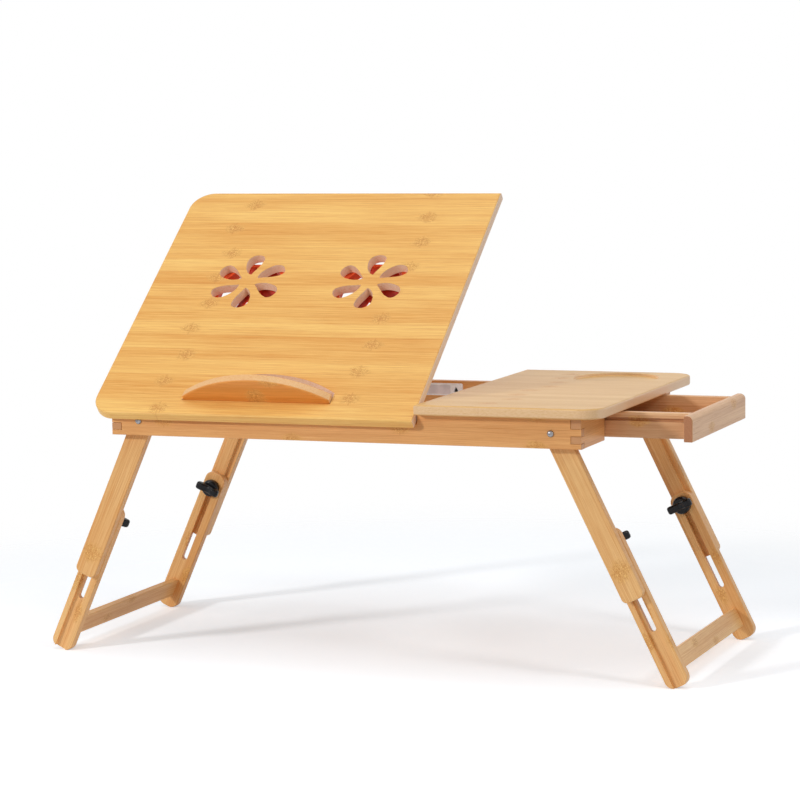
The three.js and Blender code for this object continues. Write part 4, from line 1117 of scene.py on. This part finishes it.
class BEDTABLE_OT_legs(bpy.types.Operator):
    """Build the eight leg boards and two stretchers of the folding telescopic legs"""
    bl_idname = "bed_table.legs"
    bl_label = "Legs and Stretchers"
    bl_options = {"REGISTER", "UNDO"}

    def execute(self, context):
        s = sizes(context.scene)
        seed, strip = 31.0, 26.0
        for side_name in ("left", "right"):
            for end_name, side in (("front", 1), ("back", -1)):
                stem = f"{side_name}_{end_name}"
                # A seed that lays the middle of one wide strip along the middle of the leg
                middle = (math.floor(seed / 7) + 0.5) * strip / SEED_STEP
                self.upper(s, stem, side_name, side, strip, middle)
                self.lower(s, stem, side_name, side, seed + 2)
                seed += 5.0
            self.stretcher(s, side_name, seed)
        return {"FINISHED"}

    def upper(self, s, stem, side_name, side, strip, seed):
        """Board with a round head, and the tongue on its inner face that carries the foot."""
        g = s.leg
        half = g.upper_width / 2
        outline = rectangle(-half, -g.upper_length, half, half,
                            [*[g.upper_corner] * 2, *[half - ROUND_SLACK] * 2], 12)
        board = eased("y", outline, *depth_span(s, side, s.upper_outer, s.upper_inner), g.edge)
        tongue_half = g.tongue / 2 - s.frame.seat
        short_foot, short_head, corner = 0.2, 0.4, 1
        tongue_line = rectangle(-tongue_half, -g.upper_length + short_foot, tongue_half,
                                half - short_head,
                                [corner, corner, *[tongue_half - ROUND_SLACK] * 2], 8)
        nut_seat = circle(0, 0, s.fitting.nut_radius + s.frame.seat, 32)
        tongue = eased("y", tongue_line,
                       *depth_span(s, side, s.upper_inner - g.edge, s.tongue_face), 0.5,
                       [nut_seat], 0.2, steps=3)
        place = leg_place(s, side_name)
        material = bamboo(f"bamboo_{stem}_upper_leg", s, "leg", place, (0, 0, 1), (1, 0, 0),
                          strip=strip, seed=seed, knuckle=-150.0, period=260.0, shift_by=0.0)
        make_piece(f"{stem}_upper_leg_board", [board, tongue], material, f"{side_name}_legs",
                   place, [f"{stem}_upper_leg"])

    def lower(self, s, stem, side_name, side, seed):
        """Board with the stud's slot through it and the tongue's channel along its outer face."""
        g = s.leg
        half, wide = g.lower_width / 2, g.slot_width / 2
        outline = rectangle(-half, -g.lower_end, half, -g.lower_top, g.foot_round, 8)
        slot = rectangle(-wide, -g.slot_start - g.slot_length, wide, -g.slot_start,
                         wide - ROUND_SLACK, 8)
        board = eased("y", outline, *depth_span(s, side, s.lower_outer, s.lower_inner), g.edge,
                      [slot], 0.35)
        spare = 2
        y0, y1 = depth_span(s, side, s.lower_outer - spare, s.lower_outer + g.tongue_rise)
        channel = block(-g.tongue / 2, g.tongue / 2, y0, y1, -g.lower_end - spare,
                        -g.lower_top + spare)
        place = feet_place(s, side_name)
        material = bamboo(f"bamboo_{stem}_lower_leg", s, "leg", place, (0, 0, 1), (1, 0, 0),
                          strip=12.0, seed=seed, knuckle=-232.0, period=240.0, shift_by=40.0)
        make_piece(f"{stem}_lower_leg_board", [board], material, f"{side_name}_feet",
                   place, [f"{stem}_lower_leg"], [channel])

    def stretcher(self, s, side_name, seed):
        """Board between one side's lower legs, tenoned into both."""
        g = s.leg
        half, reach = g.stretcher_board / 2, g.stretcher_height / 2
        outline = rectangle(-half, -g.stretcher_place - reach, half, -g.stretcher_place + reach,
                            radii=1.2, steps=5)
        inset = s.lower_inner - g.tenon
        board = eased("y", outline, inset, s.depth - inset, 0.2, steps=2)
        place = feet_place(s, side_name)
        material = bamboo(f"bamboo_{side_name}_stretcher", s, "leg", place, (0, 1, 0), (0, 0, 1),
                          strip=11.0, seed=seed, knuckle=110.0, period=230.0, shift_by=60.0)
        make_piece(f"{side_name}_stretcher_board", [board], material, f"{side_name}_feet",
                   place, [f"{side_name}_stretcher"])


class BEDTABLE_OT_wing_knobs(bpy.types.Operator):
    """Build the four black wing knobs that clamp the legs"""
    bl_idname = "bed_table.wing_knobs"
    bl_label = "Wing Knobs"
    bl_options = {"REGISTER", "UNDO"}

    def execute(self, context):
        s = sizes(context.scene)
        k = s.fitting
        around = np.linspace(0, np.pi / 2, 6)
        edge = np.stack([k.boss_radius - k.boss_round * (1 - np.cos(around)),
                         k.boss_height - k.boss_round * (1 - np.sin(around))], 1)
        foot, tip_height, saddle_round = 0.8, 6, 8
        boss = lathe("inward", [(k.boss_radius - foot, 0), (k.boss_radius, foot), *edge], 0, 0,
                     sides=64)
        crown = k.boss_height + k.wing_rise
        saddle, tip = crown - k.saddle, crown - tip_height
        low = k.boss_height / 2
        root, reach = k.boss_radius - k.boss_round, k.wing_reach
        wings = softened([
            (-root, low), (root, low), (reach, tip), (reach, crown), (reach - k.wing_top, crown),
            (0, saddle), (-reach + k.wing_top, crown), (-reach, crown), (-reach, tip)],
            [0, 0, *[k.wing_round] * 3, saddle_round, *[k.wing_round] * 3], 6)
        blade = eased("z", wings, -k.wing_board / 2, k.wing_board / 2, k.wing_ease, steps=6)
        material = plastic("black_knob", s.finish.black, 0.2, pebble=0.00005, specular=0.24)
        for side_name in ("left", "right"):
            for end_name, side in (("front", 1), ("back", -1)):
                face = s.knob_face if side > 0 else s.depth - s.knob_face
                flip = turn(0 if side > 0 else math.pi, "X")
                place = leg_place(s, side_name) @ shift(0, face, -s.clamp) @ flip
                stem = f"{side_name}_{end_name}"
                make_piece(f"{stem}_knob_wings", [boss, blade], material, f"{stem}_knob",
                           place, [f"{stem}_wing_knob"], crease=40)
        return {"FINISHED"}


class BEDTABLE_OT_pivot_bolts(bpy.types.Operator):
    """Build the four domed pivot bolts"""
    bl_idname = "bed_table.pivot_bolts"
    bl_label = "Pivot Bolts"
    bl_options = {"REGISTER", "UNDO"}

    def execute(self, context):
        s = sizes(context.scene)
        k = s.fitting
        dome_angle = 1.25
        around = np.linspace(0, dome_angle, 9)
        dome = np.stack([k.bolt_radius * np.cos(around), k.bolt_rise * np.sin(around)], 1)
        # A small round socket in the middle of the dome
        socket = [(1.0, k.bolt_rise * 0.96), (0.95, k.bolt_rise * 0.4), (0.4, k.bolt_rise * 0.35)]
        head = np.concatenate([[(k.bolt_radius - 0.2, 0)], dome, socket])
        material = metal("steel_bolt", s.finish.steel, 0.24)
        for side_name in ("left", "right"):
            x = leg_place(s, side_name)[0, 3]
            for end_name, side in (("front", 1), ("back", -1)):
                base = s.frame.seat if side > 0 else s.depth + s.frame.seat
                way = "y" if side > 0 else "inward"
                u, v = (x, s.leg.pivot_height) if side > 0 else (s.leg.pivot_height, x)
                shell = lathe(way, head + (0, base), u, v, 40)
                y0, y1 = depth_span(s, side, -s.frame.seat, s.tongue_face)
                shank = eased("y", circle(x, s.leg.pivot_height, k.shank, 24), y0, y1)
                stem = f"{side_name}_{end_name}"
                make_piece(f"{stem}_bolt_head", [shell, shank], material, "frame", STILL,
                           [f"{stem}_pivot_bolt"])
        return {"FINISHED"}


class BEDTABLE_OT_fans(bpy.types.Operator):
    """Build the two flat fans under the vents"""
    bl_idname = "bed_table.fans"
    bl_label = "Fans"
    bl_options = {"REGISTER", "UNDO"}

    def execute(self, context):
        s = sizes(context.scene)
        n = s.fan
        place = tilted(s)
        low, high, half = s.fan_low, s.fan_low + n.depth, n.square / 2
        seat_top = low + n.motor_depth
        base = seat_top + n.hub_lift
        top = base + n.hub_depth
        foot, lip, crown, middle, short = 0.4, 0.3, 1.2, 0.35, 0.9
        arm_count, blade_count = 3, 7
        shroud = plastic("red_fan_housing", s.finish.housing, 0.55)
        red = plastic("red_fan_rotor", s.finish.red, 0.5, pebble=0.0001)
        for name, x, y in s.vents:
            duct = circle(x, y, n.duct, 72)
            square = rectangle(x - half, y - half, x + half, y + half, n.corner, 8)
            frame_shell = eased("z", square, low, high, 0.6, [duct], 0.5, steps=3)
            seat = lathe("z", [(n.motor - foot, low), (n.motor, low + foot),
                               (n.motor, seat_top - lip), (n.motor - lip, seat_top)], x, y, 40)
            spindle = lathe("z", [(n.spindle, low), (n.spindle, high - short)], x, y, 20)
            arm = block(0, n.duct + lip, -n.spoke / 2, n.spoke / 2, low, seat_top)
            arms = [moved(arm, shift(x, y, 0)
                          @ turn(k * 2 * math.pi / arm_count + math.pi / 2, "Z"))
                    for k in range(arm_count)]
            make_piece(f"{name}_fan_frame", [frame_shell, seat, spindle, *arms], shroud,
                       "panel", place, [f"{name}_fan_housing"])
            hub = lathe("z", [(n.hub - foot, base), (n.hub, base + foot), (n.hub, top - crown),
                              (n.hub - middle, top - middle), (n.hub - crown, top)], x, y, 56)
            blades = [moved(self.blade(n), shift(x, y, base + n.hub_depth / 2)
                            @ turn(k * 2 * math.pi / blade_count, "Z"))
                      for k in range(blade_count)]
            make_piece(f"{name}_fan_blades", [hub, *blades], red, f"{name}_rotor",
                       place, [f"{name}_fan_rotor"])
        return {"FINISHED"}

    def blade(self, n, stations=7, points=20):
        """Blade along X: at each radius its section is a thin ellipse, as long as the chord and
        pitched, and bent round the axis by turning each point by its offset over the radius."""
        around = np.arange(points) * 2 * np.pi / points
        chord, thick = n.chord / 2 * np.cos(around), n.blade / 2 * np.sin(around)
        offset = chord * math.cos(n.pitch) - thick * math.sin(n.pitch)
        rise = chord * math.sin(n.pitch) + thick * math.cos(n.pitch)
        root = n.hub - 2
        radius = np.linspace(root, n.reach, stations)[:, None]
        lean = offset[None] / radius
        rings = np.stack([radius * np.cos(lean), radius * np.sin(lean),
                          np.broadcast_to(rise, lean.shape)], 2)
        last = (stations - 1) * points
        faces = quads(rings)
        faces.append(list(range(points))[::-1])
        faces.append(list(range(last, last + points)))
        return rings.reshape(-1, 3), faces


class BEDTABLE_OT_control_plate(bpy.types.Operator):
    """Build the white plate of the fan control with its keyhole socket"""
    bl_idname = "bed_table.control_plate"
    bl_label = "Control Plate"
    bl_options = {"REGISTER", "UNDO"}

    def execute(self, context):
        s = sizes(context.scene)
        k = s.fitting
        x1, z0 = k.plate_left + k.plate_length, k.plate_bottom
        y1 = s.depth - s.frame.board - s.frame.seat
        x, z = x1 - k.keyhole_inset, z0 + k.plate_height / 2 - k.keyhole_radius / 2
        around = np.linspace(np.pi, 2 * np.pi, 16)
        keyhole = np.concatenate([
            np.stack([x + k.keyhole_radius * np.cos(around), z + k.keyhole_radius * np.sin(around)],
                     1), [(x, z + k.keyhole_rise)]])
        front, border, sunk = y1 - k.plate_depth, k.shade_field_border, 0.6
        # The sunk field covers the plate's left part; its grey is painted shade of the tilted panel
        field = rectangle(k.plate_left + border, z0 + border, x1 - 2 * k.keyhole_inset,
                          z0 + k.plate_height - border, 1, 4)
        shell = eased("y", rectangle(k.plate_left, z0, x1, z0 + k.plate_height, 2, 6),
                      front, y1, 0.8, [keyhole], 0.2, [(field, sunk, 0.1)])
        material = plastic("white_plate", s.finish.white, 0.36)
        make_piece("control_plate_cover", [shell], material, "frame", STILL,
                   ["control_plate"])
        proud, sunk_fit = 0.25, 0.1
        # Grey field over the plate's left part, painted shade of the tilted panel's shadow
        label = eased("y", field, front + sunk - proud, front + sunk + sunk_fit, 0.1, steps=2)
        make_piece("control_plate_field", [label], plastic("grey_plate", s.finish.label, 0.4),
                   "frame")
        socket_front, socket_back = y1 - 1.4, y1 - 0.6
        socket = eased("y", circle(x, z + k.keyhole_radius / 2, k.keyhole_rise, 32),
                       socket_front, socket_back)
        make_piece("control_plate_socket", [socket], plastic("black_socket", s.finish.black, 0.4),
                   "frame")
        return {"FINISHED"}


class BEDTABLE_OT_small_fittings(bpy.types.Operator):
    """Finish the small fittings: hinges, pins, nuts, studs, runners, divider and stay"""
    bl_idname = "bed_table.small_fittings"
    bl_label = "Small Fittings"
    bl_options = {"REGISTER", "UNDO"}

    def execute(self, context):
        s = sizes(context.scene)
        steel = metal("steel_small", s.finish.steel, 0.28)
        brass = metal("brass_hinge", s.finish.brass, 0.3)
        along_x = bamboo("bamboo_runners", s, "frame", STILL, strip=9.0, seed=41.0)
        along_y = bamboo("bamboo_divider", s, "frame", STILL, (0, 1, 0), (0, 0, 1), strip=15.0,
                         seed=43.0)
        stay_y, stay_z, stay_lean = 60, 20, math.radians(48.7)
        stay_place = shift(0, stay_y, stay_z) @ turn(stay_lean, "X")
        stay = bamboo("bamboo_stay", s, "leg", stay_place, (0, 1, 0), (0, 0, 1), strip=8.0,
                      seed=45.0)
        catch = bamboo("bamboo_catch", s, "leg", tilted(s), (0, 1, 0), (1, 0, 0), strip=6.0,
                       seed=47.0)
        finishes = {
            "runner": along_x, "middle_divider": along_y, "tilt_stay": stay, "catch_strip": catch,
            "leaf": brass, "hinge_pin": steel, "stopper_pin": steel, "pivot_nut": steel,
            "clamp_stud": steel, "stay_screw": steel,
        }
        for name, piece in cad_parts.items():
            for ending, material in finishes.items():
                if name.endswith(ending):
                    piece.data.materials.clear()
                    piece.data.materials.append(material)
        return {"FINISHED"}


# Width of each round lamp and its place, in metres, and the point that all of them face
LAMPS = {
    "key": (0.36, (-1.6, -2.3, 1.4)),
    "fill": (0.55, (2.0, -1.0, 1.8)),
    "top": (1.8, (0.2, -0.3, 2.7)),
}
LAMP_AIM = Vector((0, 0, 0.2))

# The camera's place from the apron's corner, in metres, and its shift in shares of the picture
CAMERA_PLACE = (1.3684, -2.7167, 0.3718)
CAMERA_SHIFT = (0.0747, 0.0872)

# Half the floor's width, and how far from the table's middle it starts and ends giving way
FLOOR_REACH, FLOOR_FULL, FLOOR_GONE = 6.0, 0.45, 1.05


class BEDTABLE_OT_stage(bpy.types.Operator):
    """Set the pale floor, the soft lights, the white surroundings and the camera"""
    bl_idname = "bed_table.stage"
    bl_label = "Stage"
    bl_options = {"REGISTER", "UNDO"}

    def execute(self, context):
        scene = context.scene
        look = read(scene, "stage")
        scene.view_settings.view_transform = "Standard"
        self.camera(scene, look)
        self.world(scene, look)
        for name, (across, spot) in LAMPS.items():
            lamp = bpy.data.lights.new(f"{name}_light", "AREA")
            lamp.shape = "DISK"
            lamp.size = across
            lamp.energy = getattr(look, name)
            piece = bpy.data.objects.new(f"{name}_light", lamp)
            piece.location = spot
            piece.rotation_euler = (LAMP_AIM - Vector(spot)).to_track_quat("-Z", "Y").to_euler()
            scene.collection.objects.link(piece)
        self.floor(scene, look)
        return {"FINISHED"}

    def camera(self, scene, look):
        """Camera at the photograph's place: forward from yaw and pitch, turned by the roll."""
        forward = np.array([-math.sin(look.yaw) * math.cos(look.pitch),
                            math.cos(look.yaw) * math.cos(look.pitch), -math.sin(look.pitch)])
        level = np.array([math.cos(look.yaw), math.sin(look.yaw), 0])
        upright = np.cross(level, forward)
        c, n = math.cos(look.roll), math.sin(look.roll)
        axes = np.eye(4)
        axes[:3, 0] = c * level + n * upright
        axes[:3, 1] = c * upright - n * level
        axes[:3, 2] = -forward
        axes[:3, 3] = np.array(CAMERA_PLACE) + ORIGIN
        data = bpy.data.cameras.new("photo_camera")
        data.lens = look.lens
        data.sensor_width = 36
        data.shift_x, data.shift_y = CAMERA_SHIFT
        camera = bpy.data.objects.new("photo_camera", data)
        camera.matrix_world = Matrix(axes.tolist())
        scene.collection.objects.link(camera)
        scene.camera = camera

    def world(self, scene, look):
        """Even pale light, and plain white where the surroundings themselves are seen."""
        world = bpy.data.worlds.new("studio")
        world.use_nodes = True
        scene.world = world
        tree = world.node_tree
        tree.nodes.clear()
        level = fade(tree, seen(tree), 0.0, 1.0, look.ambient, 1.0)
        surround = node(tree, "ShaderNodeBackground", {"Color": (1, 1, 1, 1), "Strength": level})
        node(tree, "ShaderNodeOutputWorld", {"Surface": surround.outputs[0]})

    def floor(self, scene, look):
        """Pale floor that gives way to the white surroundings with distance from the table."""
        mesh = bpy.data.meshes.new("floor")
        corners = [(x * FLOOR_REACH, y * FLOOR_REACH, 0)
                   for x, y in ((-1, -1), (1, -1), (1, 1), (-1, 1))]
        mesh.from_pydata(corners, [], [(0, 1, 2, 3)])
        floor = bpy.data.objects.new("floor", mesh)
        scene.collection.objects.link(floor)
        material, tree, surface, result = shader("pale_floor")
        for key, value in {"Base Color": look.floor, "Roughness": 0.9,
                           "Specular IOR Level": 0.0}.items():
            surface.inputs[key].default_value = value
        spot = node(tree, "ShaderNodeTexCoord").outputs["Object"]
        away = node(tree, "ShaderNodeVectorMath", {0: spot}, operation="LENGTH").outputs["Value"]
        clear = node(tree, "ShaderNodeBsdfTransparent")
        glow = node(tree, "ShaderNodeEmission", {
            "Color": look.glow_tone,
            "Strength": sums(tree, "MULTIPLY", seen(tree), look.glow)})
        lit = node(tree, "ShaderNodeAddShader", {0: surface.outputs[0], 1: glow.outputs[0]})
        mixed = node(tree, "ShaderNodeMixShader", {
            0: fade(tree, away, FLOOR_FULL, FLOOR_GONE), 1: lit.outputs[0], 2: clear.outputs[0]})
        tree.links.new(mixed.outputs[0], result.inputs["Surface"])
        mesh.materials.append(material)


OPERATORS = (
    BEDTABLE_OT_stage, BEDTABLE_OT_tilting_panel, BEDTABLE_OT_side_panel, BEDTABLE_OT_stopper,
    BEDTABLE_OT_frame_boards, BEDTABLE_OT_drawer, BEDTABLE_OT_legs, BEDTABLE_OT_wing_knobs,
    BEDTABLE_OT_pivot_bolts, BEDTABLE_OT_fans, BEDTABLE_OT_control_plate,
    BEDTABLE_OT_small_fittings,
)


class BEDTABLE_PT_pieces(bpy.types.Panel):
    """Sidebar panel with one button for each group of pieces"""
    bl_idname = "BEDTABLE_PT_pieces"
    bl_label = "Bed Table"
    bl_space_type = "VIEW_3D"
    bl_region_type = "UI"
    bl_category = "Bed Table"

    def draw(self, context):
        for operator in OPERATORS:
            self.layout.operator(operator.bl_idname)
        for key, group in GROUPS.items():
            box = self.layout.box()
            box.label(text=key.capitalize())
            for name in group.__annotations__:
                box.prop(getattr(context.scene, f"bed_table_{key}"), name)


def register():
    """Registers the property groups on the scene, then the operators and the panel."""
    for key, group in GROUPS.items():
        bpy.utils.register_class(group)
        setattr(bpy.types.Scene, f"bed_table_{key}", PointerProperty(type=group))
    for item in (*OPERATORS, BEDTABLE_PT_pieces):
        bpy.utils.register_class(item)


def unregister():
    """Takes away what register adds, last first."""
    for item in (BEDTABLE_PT_pieces, *reversed(OPERATORS)):
        bpy.utils.unregister_class(item)
    for key, group in reversed(GROUPS.items()):
        delattr(bpy.types.Scene, f"bed_table_{key}")
        bpy.utils.unregister_class(group)


def corners(box):
    """Box as plain lists of numbers."""
    return [[float(value) for value in corner] for corner in box]


def main():
    """Registers the classes and runs the operators in order."""
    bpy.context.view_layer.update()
    register()
    for operator in OPERATORS:
        group, name = operator.bl_idname.split(".")
        if getattr(getattr(bpy.ops, group), name)() != {"FINISHED"}:
            raise RuntimeError(f"{operator.bl_label} didn't finish")


if __name__ == "__main__":
    main()
